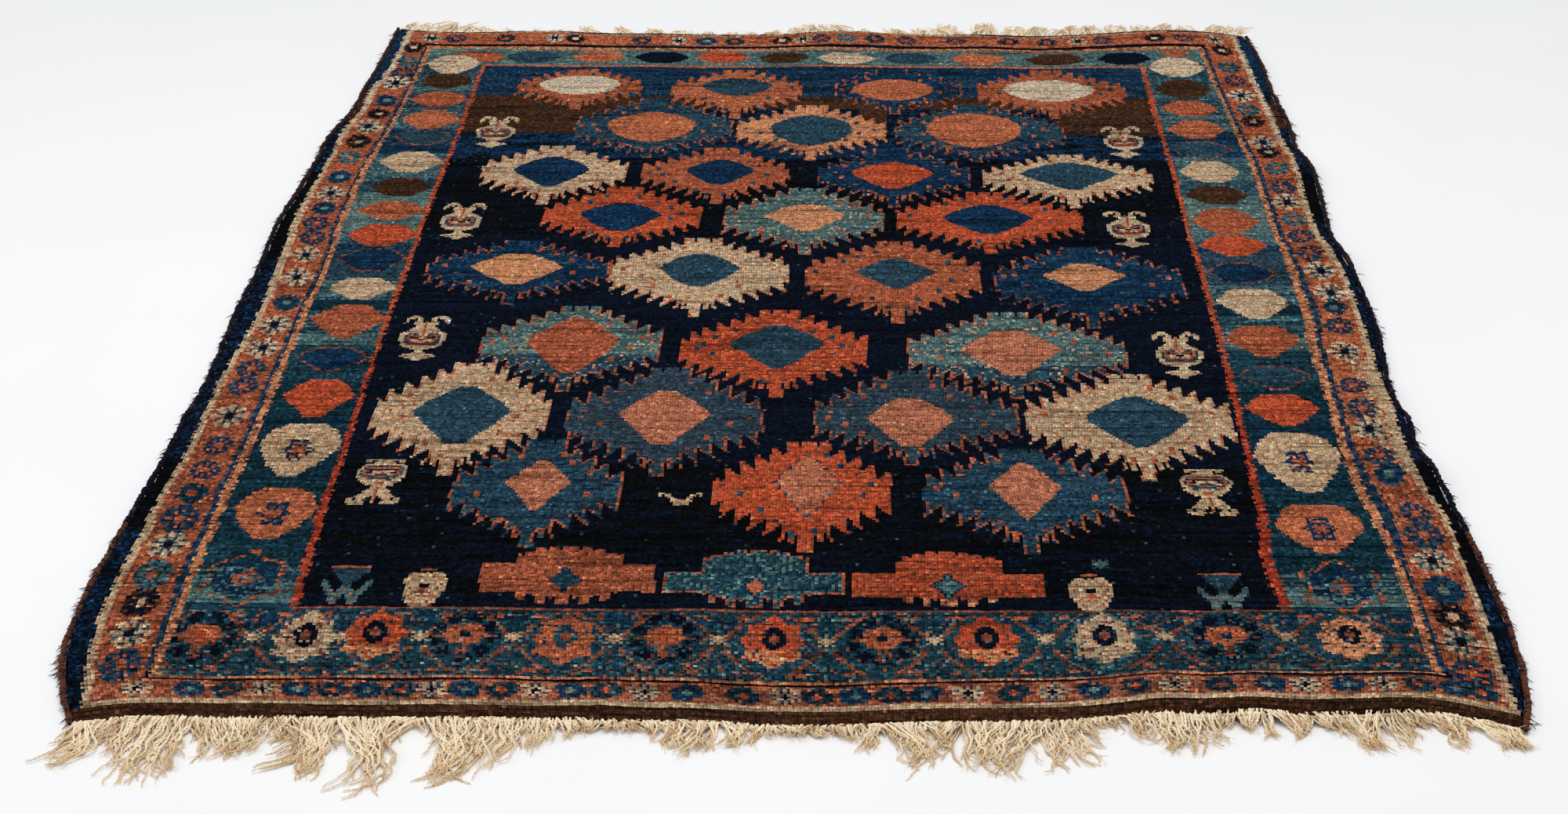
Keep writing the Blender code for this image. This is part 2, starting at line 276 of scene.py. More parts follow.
RIGHT_LINES = table(
    SideLine,
    (-1010, 687, 680, 633, 627, 619, 502, 495), (-900, 689, 680, 633, 626, 618, 500, 490),
    (-800, 693, 684, 633, 627, 619, 498, 486), (-700, 693, 687, 633, 626, 618, 493, 481),
    (-600, 694, 687, 636, 622, 611, 500, 490), (-500, 677, 667, 622, 613, 603, 500, 493),
    (-400, 681, 669, 622, 615, 606, 503, 496), (-300, 681, 664, 626, 618, 608, 505, 497),
    (-200, 685, 676, 627, 620, 609, 506, 499), (-100, 689, 681, 638, 628, 616, 508, 500),
    (0, 690, 683, 638, 628, 618, 508, 501), (100, 682, 672, 632, 625, 616, 505, 498),
    (200, 677, 668, 630, 622, 615, 506, 500), (400, 682, 674, 630, 624, 616, 508, 501),
    (500, 678, 669, 625, 619, 612, 506, 500), (600, 678, 668, 621, 615, 609, 507, 499),
    (750, 673, 664, 616, 610, 604, 507, 499), (900, 668, 660, 612, 607, 601, 506, 499),
)
FRONT_LINE = SideLine("front", -981, -977, -942, -935, -931, -811, -806)
BACK_LINE = SideLine("back", 955, 948, 901, 887, 877, 807, 798)

rng = np.random.default_rng(CHART_SEED)
row_jog = rng.integers(-1, 2, (ROWS, 1)) * 0.45 * KNOT_WIDTH


def inside(line):
    """The knots within one border line's rectangle."""
    level = LEVEL[:, :1]
    left = from_table(LEFT_LINES, line, level) + row_jog
    right = from_table(RIGHT_LINES, line, level) + row_jog
    front, back = getattr(FRONT_LINE, line) * MM, getattr(BACK_LINE, line) * MM
    return (KNOT_X > left) & (KNOT_X < right) & (LEVEL > front) & (LEVEL < back)


def between(low, high, values=LEVEL):
    return (values > low * MM) & (values < high * MM)


def some(share):
    """A random share of all the knots."""
    return rng.random(chart.shape) < share


in_cream, in_guard, in_blue, in_pink, in_main, in_red, field = (
    inside(line) for line in SideLine._fields[1:]
)

# %% The outer bands
SideBand = namedtuple("SideBand", "low high left right")
SIDE_BANDS = table(
    SideBand,
    (-1100, -750, "navy", "navy"), (-750, -650, "navy", "black"), (-650, -500, "black", "black"),
    (-500, 50, "navy", "navy"), (50, 200, "black", "navy"), (200, 360, "black", "black"),
    (360, 550, "navy", "navy"), (550, 660, "brown", "brown"), (660, 700, "brown", "navy"),
    (700, 1100, "indigo", "indigo"),
)
for band in SIDE_BANDS:
    dye(between(band.low, band.high) & (KNOT_X < 0), band.left)
    dye(between(band.low, band.high) & (KNOT_X > 0), band.right)
navy_band = (chart == YARN["navy"]) & some(0.3)
dye(navy_band, "indigo")
dye((LEVEL < FRONT_LINE.cream * MM) | (LEVEL > BACK_LINE.cream * MM), "brown")

every_third = (np.arange(ROWS)[:, None] // 3 + np.arange(COLUMNS)[None, :] // 3) % 2 == 0
dye(in_cream, "cream")
dye(in_guard, "rust")
guard_light = between(860, 960) | (between(-700, 960) & (KNOT_X > 0) & between(-650, -60))
dye(in_guard & guard_light & some(0.75), "salmon")
dye(in_guard & some(0.12), "salmon")
dye(in_guard & between(-1100, -930) & some(0.5), "rose")
dye(in_guard & some(0.1 + 0.34 * (LEVEL < -0.35)), "brick")
worn_line = 652 * MM + 40 * MM * (LEVEL + 0.4) ** 2
worn_side = in_cream & (KNOT_X > worn_line) & between(-520, -230)
dye(worn_side & some(0.62), "wheat")
dye(in_blue, "navy")
dye(in_blue & between(-930, 880), "slate")
dye(in_blue & between(-930, 880) & ~every_third, "indigo")
dye(in_pink, "peach")
dye(in_pink & ~every_third & some(0.55), "salmon")
dye(in_pink & some(0.12), "brick")
print("bands dyed:", int(in_guard.sum()), "knots lie inside the outer lines")

# %% The main border's ground
# A band dyed in small lots: each lot's blue is a little off the last, so the ground
# changes in whole rows. Weavers call it abrash.
Lot = namedtuple("Lot", "low high yarn second")
BORDER_LOTS = table(
    Lot,
    (-940, -920, "petrol", "teal"), (-920, -860, "petrol", "blue"),
    (-860, -800, "petrol", "indigo"), (-800, -770, "teal", "sea"), (-770, -730, "petrol", "teal"),
    (-730, -655, "deep", "petrol"), (-655, -545, "deep", "petrol"),
    (-545, -380, "deep", "indigo"), (-380, -300, "deep", "petrol"),
    (-300, -200, "petrol", "deep"), (-200, -165, "teal", "sea"), (-165, -100, "petrol", "teal"),
    (-100, -70, "deep", "indigo"), (-70, -10, "teal", "petrol"), (-10, 90, "blue", "slate"),
    (90, 110, "indigo", "blue"), (110, 150, "teal", "blue"), (150, 290, "teal", "sea"),
    (200, 260, "sea", "teal"), (290, 340, "blue", "teal"), (340, 430, "teal", "blue"),
    (430, 530, "indigo", "blue"), (530, 600, "teal", "blue"), (600, 690, "blue", "teal"),
    (690, 740, "teal", "blue"), (740, 805, "blue", "teal"), (805, 880, "teal", "sea"),
)
row_share = np.convolve(rng.random(ROWS + 4), np.ones(5) / 5, "valid")[:, None]


def dye_lots(where, lots):
    """Dye a ground in lots of whole rows, with some rows and knots of a second tone."""
    streak = np.repeat(rng.random((ROWS, COLUMNS // 9)), 9, axis=1)
    second = 0.55 * streak + 0.45 * rng.random(chart.shape) + 0.8 * (row_share - 0.5)
    for lot in lots:
        here = where & between(lot.low, lot.high)
        dye(here, lot.yarn)
        dye(here & (second < 0.36), lot.second)


dye_lots(in_main, BORDER_LOTS)
mossy = in_main & some(0.5) & (np.sin(KNOT_X / (20 * MM)) > 0.2)
dye(mossy & between(828, 872) & (rng.random((ROWS, 1)) < 0.6) & (KNOT_X < -250 * MM), "moss")
dye(in_red, "madder")
dye(in_red & every_third & some(0.5), "rust")
dye(in_red & between(770, 965), "salmon")
dye(in_red & between(-790, -250) & some(0.7), "crimson")
dye(in_red & between(-830, -795), "brick")
print("border lots:", len(BORDER_LOTS))

# %% The field's ground
FIELD_LOTS = table(
    Lot,
    (-820, -690, "navy", "black"), (-690, -500, "black", "navy"), (-500, 140, "navy", "navy"),
    (140, 330, "black", "navy"), (330, 415, "navy", "black"), (415, 520, "indigo", "navy"),
    (520, 620, "navy", "indigo"), (620, 670, "brown", "brown"), (670, 810, "indigo", "blue"),
)
dye_lots(field, FIELD_LOTS)
at_the_sides = (KNOT_X < -290 * MM) | (KNOT_X > 350 * MM) | (np.abs(KNOT_X - 0.08) < 0.02)
dye(field & between(515, 620) & at_the_sides, "brown")
dye(field & between(150, 215) & (KNOT_X > 380 * MM), "navy")
dye(field & some(0.006), "slate")


# %% [markdown]
# ## The medallions
# Eight rows of toothed lozenges fill the field, four and three by turns. Each is the
# same idea at its own size: a body whose edge breaks into upright teeth five knots
# apart, and a smooth lozenge in its middle. One painter draws them all from a table.
# Teeth are counted in knots, because on a loom nothing is finer than one knot.

# %% Knots round a place
def knots_round(x, y, heights=KNOT_Y):
    """Every knot's whole steps across and along from the knot at a place, in millimetres."""
    nearest = np.abs(heights - y * MM) + np.abs(KNOT_X - x * MM)
    row, _ = np.unravel_index(int(np.argmin(nearest)), chart.shape)
    steps_along = np.repeat(np.arange(ROWS)[:, None] - row, COLUMNS, axis=1)
    steps_across = np.round((KNOT_X - x * MM) / KNOT_WIDTH).astype(int)
    return steps_across, steps_along


def knots_wide(length):
    return length * MM / KNOT_WIDTH


def knots_tall(length):
    return length * MM / KNOT_HEIGHT


# %% The toothed body
TOOTH_PITCH = 5
BLOCK_HALF = 8
TAIL_HALF = 2
VALLEY_ABOVE, VALLEY_BELOW = 7.0, 9.5
BARB_LEAN = 0.34

Medallion = namedtuple(
    "Medallion", "x y left right low high body middle middle_wide middle_low middle_high"
)
MEDALLIONS = table(
    Medallion,
    (-370, 717, -467, -272, 611, 789, "rust", "ivory", 125, 672, 757),
    (-128, 709, -228, -28, 578, 789, "salmon", "blue", 105, 672, 748),
    (111, 700, 22, 217, 594, 794, "indigo", "salmon", 125, 652, 745),
    (350, 700, 239, 467, 578, 789, "rust", "ivory", 137, 652, 746),
    (-248, 539, -361, -128, 417, 661, "blue", "salmon", 130, 482, 602),
    (-11, 533, -122, 100, 411, 633, "peach", "blue", 122, 472, 590),
    (228, 528, 111, 361, 406, 639, "blue", "salmon", 142, 464, 602),
    (-378, 370, -478, -272, 244, 464, "cream", "indigo", 108, 312, 420),
    (-139, 367, -250, -39, 250, 456, "rust", "indigo", 96, 320, 411),
    (106, 361, 0, 217, 244, 461, "indigo", "madder", 118, 308, 406),
    (356, 356, 233, 472, 244, 439, "cream", "blue", 138, 308, 405),
    (-267, 211, -374, -156, 100, 311, "madder", "indigo", 114, 154, 252),
    (-14, 206, -128, 94, 78, 309, "teal", "peach", 106, 160, 250),
    (233, 211, 111, 363, 83, 298, "madder", "indigo", 124, 152, 250),
    (-389, 31, -506, -267, -78, 122, "indigo", "peach", 116, -18, 76),
    (-150, 28, -267, -33, -117, 128, "cream", "blue", 112, -25, 76),
    (106, 24, -9, 217, -131, 122, "rust", "blue", 104, -24, 66),
    (350, 11, 233, 478, -139, 111, "indigo", "peach", 108, -28, 57),
    (-294, -186, -406, -183, -322, -83, "teal", "rust", 118, -270, -116),
    (-42, -202, -161, 67, -333, -94, "madder", "blue", 118, -256, -138),
    (244, -209, 117, 383, -333, -94, "teal", "rose", 122, -272, -145),
    (-406, -369, -508, -303, -528, -244, "cream", "blue", 118, -456, -312),
    (-169, -386, -283, -52, -528, -256, "slate", "rose", 106, -452, -318),
    (117, -386, 3, 244, -500, -261, "slate", "rose", 104, -452, -330),
    (381, -378, 250, 492, -528, -269, "cream", "blue", 126, -452, -328),
    (-298, -552, -394, -206, -689, -444, "blue", "rose", 72, -606, -490),
    (0, -550, -103, 94, -691, -444, "madder", "rose", 66, -612, -482),
    (241, -552, 128, 353, -691, -456, "blue", "rose", 78, -618, -492),
)


def ear(steps):
    """The valley beside each upper tooth: deep at its inner side, none at its outer one."""
    share = ((steps - BLOCK_HALF) / TOOTH_PITCH) % 1.0
    return np.clip(1.12 - 1.6 * share, 0, 1)


def barb(steps):
    """The wedge between two lower teeth: 1 in its middle, 0 along a tooth."""
    share = ((steps - BLOCK_HALF) / TOOTH_PITCH) % 1.0
    return np.clip(1.15 - np.abs(share - 0.5) / 0.40, 0, 1)


def toothed_body(m, across, along):
    """The mask of a medallion's body, teeth and all."""
    half_left, half_right = knots_wide(m.x - m.left), knots_wide(m.right - m.x)
    steps = np.abs(across)
    share = steps / np.where(across < 0, half_left, half_right)
    up, down = knots_tall(m.high - m.y), knots_tall(m.y - m.low)
    top = up * np.minimum(1.0, 1.19 - 0.87 * share)
    foot = down * np.minimum(0.9, 0.97 - 0.53 * share)
    in_teeth = steps >= BLOCK_HALF
    notched = np.where(~in_teeth & (steps % 6 == 3), 3, 0)
    near = 1.0 if m.y < -300 else 0.8
    top = top - np.where(in_teeth, VALLEY_ABOVE * near * ear(steps), notched)
    inward = np.clip(foot + along, 0, None)
    foot = foot - np.where(in_teeth, VALLEY_BELOW * near * barb(steps + BARB_LEAN * inward), 0)
    foot = np.where(steps <= TAIL_HALF, down, foot)
    beside = (steps > TAIL_HALF) & ~in_teeth
    foot = np.where(beside, foot - 2 - (steps % 3 == 0) * 4, foot)
    return (share <= 1.0) & (along <= top) & (-along <= foot)


# %% The smooth middle and the sprinkled dots
def smooth_middle(m, grown=0):
    """The lozenge in a medallion: round in the far rows, drawn to a foot in the near ones."""
    waist = 0.5 * (m.middle_low + m.middle_high) + 0.06 * (m.middle_high - m.middle_low)
    across, along = knots_round(m.x, waist)
    half = knots_wide(m.middle_wide) / 2 + grown
    up = knots_tall(m.middle_high - waist) + grown
    down = knots_tall(waist - m.middle_low) + grown
    tall = np.where(along >= 0, up, down)
    if m.y > 450:
        return (np.abs(across) / half) ** 1.75 + (np.abs(along) / tall) ** 1.75 <= 1
    flat = 2.6 if m.y > -450 else 0.6
    blunt = np.maximum(np.abs(across) - flat, 0) / (half - flat)
    power = np.where(along >= 0, 1.16, 1.04) + (0.1 if m.y > 100 else 0.0)
    return blunt**power + (np.abs(along) / tall) ** power <= 1


Dot = namedtuple("Dot", "across along")
DOTS = table(
    Dot,
    (0.22, 0.66), (0.42, 0.47), (0.60, 0.30), (0.78, 0.10), (0.66, -0.12), (0.48, -0.36),
    (0.30, -0.55), (0.12, -0.70), (0.86, 0.02),
)
WARM = ("rust", "salmon", "madder", "peach", "rose")


def rim_of(mask):
    """The outermost knots of a mask."""
    rim = np.zeros_like(mask)
    for axis in (0, 1):
        for step in (-1, 1):
            rim |= mask & ~np.roll(mask, step, axis=axis)
    return rim


def weave_medallion(m):
    across, along = knots_round(m.x, m.y)
    body = toothed_body(m, across, along) & field
    dye(body, m.body)
    tones = {"indigo": "blue", "blue": "indigo", "teal": "sea", "slate": "blue"}
    if m.body in tones:
        streak = np.repeat(rng.random((ROWS, COLUMNS // 6)), 6, axis=1)
        mixed = body & (0.7 * streak + 0.3 * rng.random(chart.shape) < 0.27)
        dye(mixed, tones[m.body])
        pairs = np.repeat(rng.random((ROWS // 2, COLUMNS)), 2, axis=0)
        rim = rim_of(body) & (pairs < 0.6)
        dye(rim & ((np.abs(across) >= BLOCK_HALF - 1) | (along < 0)), "rust")
        if m.body == "teal":
            dye(body & some(0.10), "wheat")
    else:
        dye(body & some(0.08), {"cream": "peach"}.get(m.body, "salmon"))
        dye(body & some(0.03), "rust")
        edge = "rust" if m.body == "cream" else "brick"
        dye(rim_of(body) & some(0.34), edge)
    half_left, half_right = knots_wide(m.x - m.left), knots_wide(m.right - m.x)
    up, down = knots_tall(m.high - m.y), knots_tall(m.y - m.low)
    contrast = "rust" if m.body not in WARM else "blue"
    for dot in DOTS:
        for side, half in ((-1, half_left), (1, half_right)):
            if rng.random() < 0.25:
                continue
            column = round(side * dot.across * half + rng.uniform(-1, 1))
            row = round(dot.along * (up if dot.along > 0 else down) + rng.uniform(-1, 1))
            near = (np.abs(across - column + 0.5) < 1) & (np.abs(along - row) <= rng.integers(0, 2))
            dye(near & body, contrast)
    dye(smooth_middle(m), m.middle)
    return int(body.sum())


sizes = [weave_medallion(m) for m in MEDALLIONS]
for m in (m for m in MEDALLIONS if m.body == "teal" and m.y < 0):
    across, along = knots_round(m.x, m.y)
    lower = toothed_body(m, across, along) & (KNOT_Y < (m.y - 35) * MM)
    dye(lower & np.isin(chart, (YARN["teal"], YARN["sea"])), "blue")
ringed = next(m for m in MEDALLIONS if (m.x, m.y) == (0, -550))
seed = smooth_middle(ringed)
dye(seed & some(0.3), "salmon")
around = smooth_middle(ringed, grown=1.5)
dye(around & ~seed & ((np.arange(ROWS)[:, None] // 2) % 2 == 0), "blue")
print(len(MEDALLIONS), "medallions of", min(sizes), "to", max(sizes), "knots")

# %% The half medallions of the first row
HalfMedallion = namedtuple("HalfMedallion", "x left right arm_low arm_high top foot body seed")
HALF_MEDALLIONS = table(
    HalfMedallion,
    (-248, -337, -155, -774, -718, -681, -798, "rust", "petrol"),
    (-50, -146, 44, -777, -732, -687, -803, "petrol", "salmon"),
    (150, 50, 250, -779, -732, -690, -800, "madder", "teal"),
)
for m in HALF_MEDALLIONS:
    across, along = knots_round(m.x, (m.arm_low + m.arm_high) / 2)
    steps = np.abs(across)
    arms = (KNOT_X > m.left * MM) & (KNOT_X < m.right * MM)
    arms &= between(m.arm_low, m.arm_high, KNOT_Y)
    rise = knots_tall(m.top - (m.arm_low + m.arm_high) / 2)
    drop = knots_tall((m.arm_low + m.arm_high) / 2 - m.foot)
    stepped = rise - 1.5 * np.maximum(steps // 4 - 1, 0) - 2 * (steps % 4 == 3)
    uneven = (across * 7 + 3) % 5 // 2
    teeth = drop - np.where(steps % 6 >= 3, 3 + uneven, 0) - np.maximum(steps - 5, 0) // 3
    core = (steps <= 16) & (along <= stepped) & (-along <= teeth)
    shape = (arms | core) & field
    dye(shape, m.body)
    if m.body == "petrol":
        dye(shape & some(0.22), "teal")
        dye(shape & some(0.10), "sea")
        dye(rim_of(shape) & some(0.7), "rust")
    else:
        dye(core & (-along > drop - 4), "peach" if m.body == "madder" else "salmon")
        dye(shape & some(0.3), "brick")
    seed = steps / 5.0 + np.abs(along + 1) / 6.5 <= 1
    if m.body == "petrol":
        seed = steps / 3.6 + np.abs(along + 2) / 6.0 <= 1
    dye(rim_of(seed) & seed, "indigo")
    dye(seed & ~rim_of(seed), m.seed)
print(len(HALF_MEDALLIONS), "half medallions")


# %% [markdown]
# ## Lozenges, rosettes and small beasts
# The border's lozenges are one rounded shape in a table. The guard stripe's rosettes
# and the ram-horn vases are charted a letter for a knot: only the left half is
# written, because these old motifs are mirrored about their middle column.

# %% The border's lozenges
Lozenge = namedtuple("Lozenge", "x low high half yarn seed", defaults=("",))
LOZENGES = table(
    Lozenge,
    (-544, 815, 868, 44, "rust"), (-578, 765, 845, 42, "cream"), (556, 763, 845, 42, "cream"),
    (-578, 700, 762, 41, "brown"), (556, 670, 750, 43, "brown"), (-578, 622, 685, 42, "rust"),
    (556, 592, 655, 43, "rust"), (-578, 533, 605, 43, "salmon"), (556, 503, 575, 43, "salmon"),
    (-578, 462, 525, 43, "blue"), (556, 430, 492, 43, "blue"), (-582, 358, 435, 45, "cream"),
    (556, 338, 415, 43, "cream"), (-582, 273, 340, 42, "brown"), (556, 255, 323, 44, "brown"),
    (-582, 190, 255, 45, "rust"), (556, 157, 243, 45, "rust"), (-582, 100, 175, 46, "madder"),
    (556, 77, 147, 45, "madder"), (-582, 20, 95, 45, "indigo"), (556, -2, 64, 45, "indigo"),
    (-580, -70, -5, 45, "cream"), (558, -113, -22, 46, "cream"), (-582, -178, -85, 46, "rust"),
    (556, -220, -130, 46, "rust"), (-582, -270, -205, 45, "indigo"),
    (556, -305, -240, 44, "blue"), (-580, -388, -295, 42, "madder"),
    (553, -402, -318, 43, "madder"), (-580, -535, -405, 46, "cream", "indigo"),
    (553, -557, -415, 49, "cream", "indigo"), (-578, -672, -557, 46, "salmon", "indigo"),
    (553, -690, -583, 48, "salmon", "indigo"), (-456, 815, 868, 44, "blue"),
    (-353, 815, 868, 44, "salmon"), (-253, 815, 868, 44, "navy"), (-156, 815, 868, 44, "madder"),
    (-59, 815, 868, 40, "brown"), (39, 815, 868, 44, "cream"), (142, 815, 868, 44, "blue"),
    (247, 815, 868, 45, "salmon"), (370, 815, 868, 47, "brown"), (478, 815, 868, 44, "navy"),
    (559, 850, 876, 24, "rust"),
)
main_border = in_main & ~in_red
# Half widths from a lozenge's far point, 0, to its near one, 1
Outline = namedtuple("Outline", "along half")
SHIELD = table(
    Outline,
    (0, 0.42), (0.1, 0.62), (0.36, 0.97), (0.5, 0.97), (0.78, 0.52), (0.93, 0.28), (1, 0.22),
)
OVAL = table(
    Outline,
    (0, 0.40), (0.12, 0.78), (0.34, 0.98), (0.52, 0.94), (0.78, 0.60), (0.93, 0.30), (1, 0.2),
)
DIAMOND = table(
    Outline,
    (0, 0.38), (0.18, 0.70), (0.44, 0.98), (0.56, 0.98), (0.82, 0.66), (1, 0.32),
)


def weave_lozenge(z):
    middle = (z.low + z.high) / 2
    across, along = knots_round(z.x, middle)
    wide, tall = knots_wide(z.half), knots_tall((z.high - z.low) / 2)
    outline = OVAL if z.seed else SHIELD if z.high < 0 else DIAMOND
    down = np.clip(0.5 - along / (2 * tall), 0, 1)
    half = wide * np.interp(down, [o.along for o in outline], [o.half for o in outline])
    half = half + rng.uniform(-0.4, 0.4, (ROWS, 1))
    shape = (np.abs(across) <= half) & (np.abs(along) <= tall) & main_border
    dye(shape, z.yarn)
    if z.yarn in ("indigo", "blue") and z.high < 700:
        dye(rim_of(shape) & some(0.75), "brick")
    if z.seed:
        petals = np.hypot(across / 4.4, along / 6.6) - 0.14 * np.cos(6 * np.arctan2(along, across))
        dye((petals < 1.02) & some(0.85), z.seed)
        dye((petals < 0.7) & (np.abs(along) % 3 == 1), "rust")
        dye(petals < 0.3, "rust")
    if z.yarn == "cream":
        dye(shape & some(0.06), "peach")


for lozenge in LOZENGES:
    weave_lozenge(lozenge)
for side in (-1, 1):
    ring_x, ring_y = (-582, -750) if side < 0 else (556, -752)
    across, along = knots_round(ring_x, ring_y)
    radius = np.hypot(across / 12, along / 13)
    petals = radius + 0.13 * np.cos(6 * np.arctan2(along, across))
    here = main_border & some(0.55)
    dye((petals > 0.85) & (petals < 1.02) & here, "rust")
    dye((radius < 0.8) & here, "indigo")
    dye((radius < 0.34) & here, "rust")
print(len(LOZENGES), "lozenges")

# %% Letter charts for the small motifs
# o outline or body, r rust, b blue, n navy, t teal, . the ground left as it is
STAR = """
o.o
.oo
ooo
""".split()
VASE = """
...ooo....
..ooooo...
.oooo.oo..
.oo...oo..
.oo..ooo.o
.o...oooor
.....oooor
......ooor
......ooor
.....oooor
....ooooor
...oooooor
..oooooror
.ooobbbror
.oobrrbbor
.oobrnrrbo
.oobrnnnro
.oobrroonn
.oobbrooor
..obbrrrrr
..oobbbbbb
..oorrrrrr
...ooooooo
....oooooo
......oooo
........oo
........oo
.......ooo
....oooooo
...ooroooo
.....ooooo
.......ooo
........oo
""".split()
ANCHOR = """
...ooooooo
...oo..ooo
......oooo
...ooooooo
..oobbbbbb
..obrrrrrr
.oobbnnnnn
.obrrnoooo
.obrnnooor
.obrroobbb
.oobbbbrrr
..oorrbbbb
..ooobbooo
...ooooooo
....oooorr
.....ooorr
.......ooo
.......oor
......ooor
.....oooor
.....oooor
....ooooor
...ooooo.o
.oo.ooo..r
.oo.oo...r
.oooooo..o
..ooooo...
""".split()
BIRD = """
oo......
o.oo....
...oo...
....oo..
....oooo
.....ooo
.....ooo
""".split()
SMALL_ROSETTE = """
....rrr
.......
..ooo.o
.oooooo
.oooroo
ooroooo
ooooooo
ooooooo
orooo..
ooooo..
oorooor
ooooorr
.ooorrr
.ooroor
.orooro
..ooooo
..orooo
..ooroo
...oooo
....ooo
""".split()
PENDANT = """
.rrrrrrr
..bbbbbb
..bbbbbb
...bbbbb
...bbbbb
....bbbb
....bbbb
o....bbb
ot....bb
tt....bb
tot...ob
.tt...to
.tot.otr
..trttot
..ottrto
...tttt.
...trot.
...ttt..
...tot..
....ro..
""".split()
LETTERS = {"r": "rust", "b": "blue", "n": "navy", "t": "teal"}


def weave_chart(half_rows, x, y, outline="cream", fourfold=False, heights=KNOT_Y):
    """Tie a mirrored motif with its middle at a place; fourfold mirrors it along, too."""
    rows = [row + row[-2::-1] for row in half_rows]
    rows = rows + rows[-2::-1] if fourfold else rows
    rows = rows[::-1]
    across, along = knots_round(x, y, heights)
    column, row = across + len(rows[0]) // 2, along + len(rows) // 2
    ok = (column >= 0) & (column < len(rows[0])) & (row >= 0) & (row < len(rows))
    letters = np.array([list(text) for text in rows])
    found = np.full(chart.shape, ".")
    found[ok] = letters[row[ok], column[ok]]
    dye(found == "o", outline)
    for letter, yarn in LETTERS.items():
        dye(found == letter, yarn)


Small = namedtuple("Small", "kind x y outline")
SMALL_MOTIFS = table(
    Small,
    ("vase", -476, 517, "cream"), ("vase", -483, 187, "cream"), ("vase", -481, -178, "cream"),
    ("vase", 444, 489, "cream"), ("vase", 422, 172, "cream"), ("vase", 448, -213, "cream"),
    ("anchor", -476, -544, "cream"), ("anchor", 442, -553, "cream"),
    ("bird", -139, -576, "cream"), ("rosette", -392, -764, "cream"),
    ("rosette", 296, -767, "cream"), ("pendant", -474, -762, "teal"),
    ("pendant", 433, -762, "teal"), ("star", 311, -712, "teal"),
)
KINDS = {
    "vase": VASE, "anchor": ANCHOR, "bird": BIRD, "rosette": SMALL_ROSETTE,
    "pendant": PENDANT, "star": STAR,
}
for small in SMALL_MOTIFS:
    weave_chart(KINDS[small.kind], small.x, small.y, small.outline, fourfold=small.kind == "star")
print(len(SMALL_MOTIFS), "small motifs")

# %% The guard stripe's rosettes
BACK_GUARD_LINE, FRONT_GUARD_LINE = 925, -959
Rosette = namedtuple("Rosette", "place kind")
LEFT_GUARD = table(
    Rosette,
    (885, "dark"), (818, "teal"), (767, "navy"), (724, "cream"), (645, "blue"), (588, "dark"),
    (527, "cream"), (473, "dark"), (415, "teal"), (339, "blue"), (279, "cream"), (227, "blue"),
    (171, "navy"), (124, "navy"), (67, "cream"), (0, "cream"), (-79, "blue"), (-145, "cream"),
    (-209, "cream"), (-267, "navy"), (-314, "navy"), (-388, "cream"), (-464, "navy"),
    (-524, "navy"), (-579, "faint"), (-630, "navy"), (-685, "cream"), (-745, "teal"),
    (-800, "dark"), (-858, "cream"), (-918, "navy"),
)
RIGHT_GUARD = table(
    Rosette,
    (879, "dark"), (806, "teal"), (748, "navy"), (682, "cream"), (621, "teal"), (576, "dark"),
    (490, "cream"), (448, "dark"), (382, "teal"), (318, "navy"), (267, "cream"), (206, "teal"),
    (148, "navy"), (88, "navy"), (33, "cream"), (-31, "cream"), (-76, "blue"), (-130, "navy"),
    (-200, "cream"), (-297, "navy"), (-358, "navy"), (-406, "cream"), (-479, "navy"),
    (-522, "blue"), (-600, "navy"), (-645, "navy"), (-700, "cream"), (-758, "blue"),
    (-809, "dark"), (-858, "cream"), (-915, "navy"),
)
BACK_GUARD = table(
    Rosette,
    (-630, "cream"), (-590, "navy"), (-510, "faint"), (-430, "cream"), (-395, "dark"),
    (-290, "faint"), (-230, "cream"), (-185, "blue"), (-140, "faint"), (-65, "dark"),
    (-30, "cream"), (0, "navy"), (40, "teal"), (85, "faint"), (135, "navy"), (215, "navy"),
    (300, "faint"), (360, "faint"), (410, "cream"), (450, "navy"), (535, "dark"), (580, "navy"),
    (630, "cream"),
)
FRONT_GUARD = table(
    Rosette,
    (-644, "cream"), (-592, "blue"), (-555, "faint"), (-520, "cream"), (-487, "blue"),
    (-453, "faint"), (-420, "blue"), (-387, "faint"), (-357, "cream"), (-325, "blue"),
    (-289, "faint"), (-257, "cream"), (-222, "blue"), (-188, "faint"), (-151, "cream"),
    (-110, "blue"), (-55, "faint"), (-15, "cream"), (17, "faint"), (52, "blue"), (88, "faint"),
    (122, "blue"), (161, "cream"), (205, "faint"), (243, "cream"), (283, "blue"), (325, "faint"),
    (362, "cream"), (407, "faint"), (455, "blue"), (488, "cream"), (528, "blue"), (562, "cream"),
    (598, "faint"), (635, "blue"), (658, "faint"),
)
# Each kind: the yarns of its petals, its spokes and its eye, and the share of them tied
Finish = namedtuple("Finish", "petals spokes eye full")
FINISH = {
    "cream": Finish("blue", "cream", "navy", 0.9), "navy": Finish("slate", "indigo", "rust", 0.97),
    "blue": Finish("blue", "indigo", "sea", 0.97), "teal": Finish("petrol", "teal", "rust", 0.97),
    "dark": Finish("brown", "navy", "cream", 0.95), "faint": Finish("slate", "deep", "madder", 0.9),
}


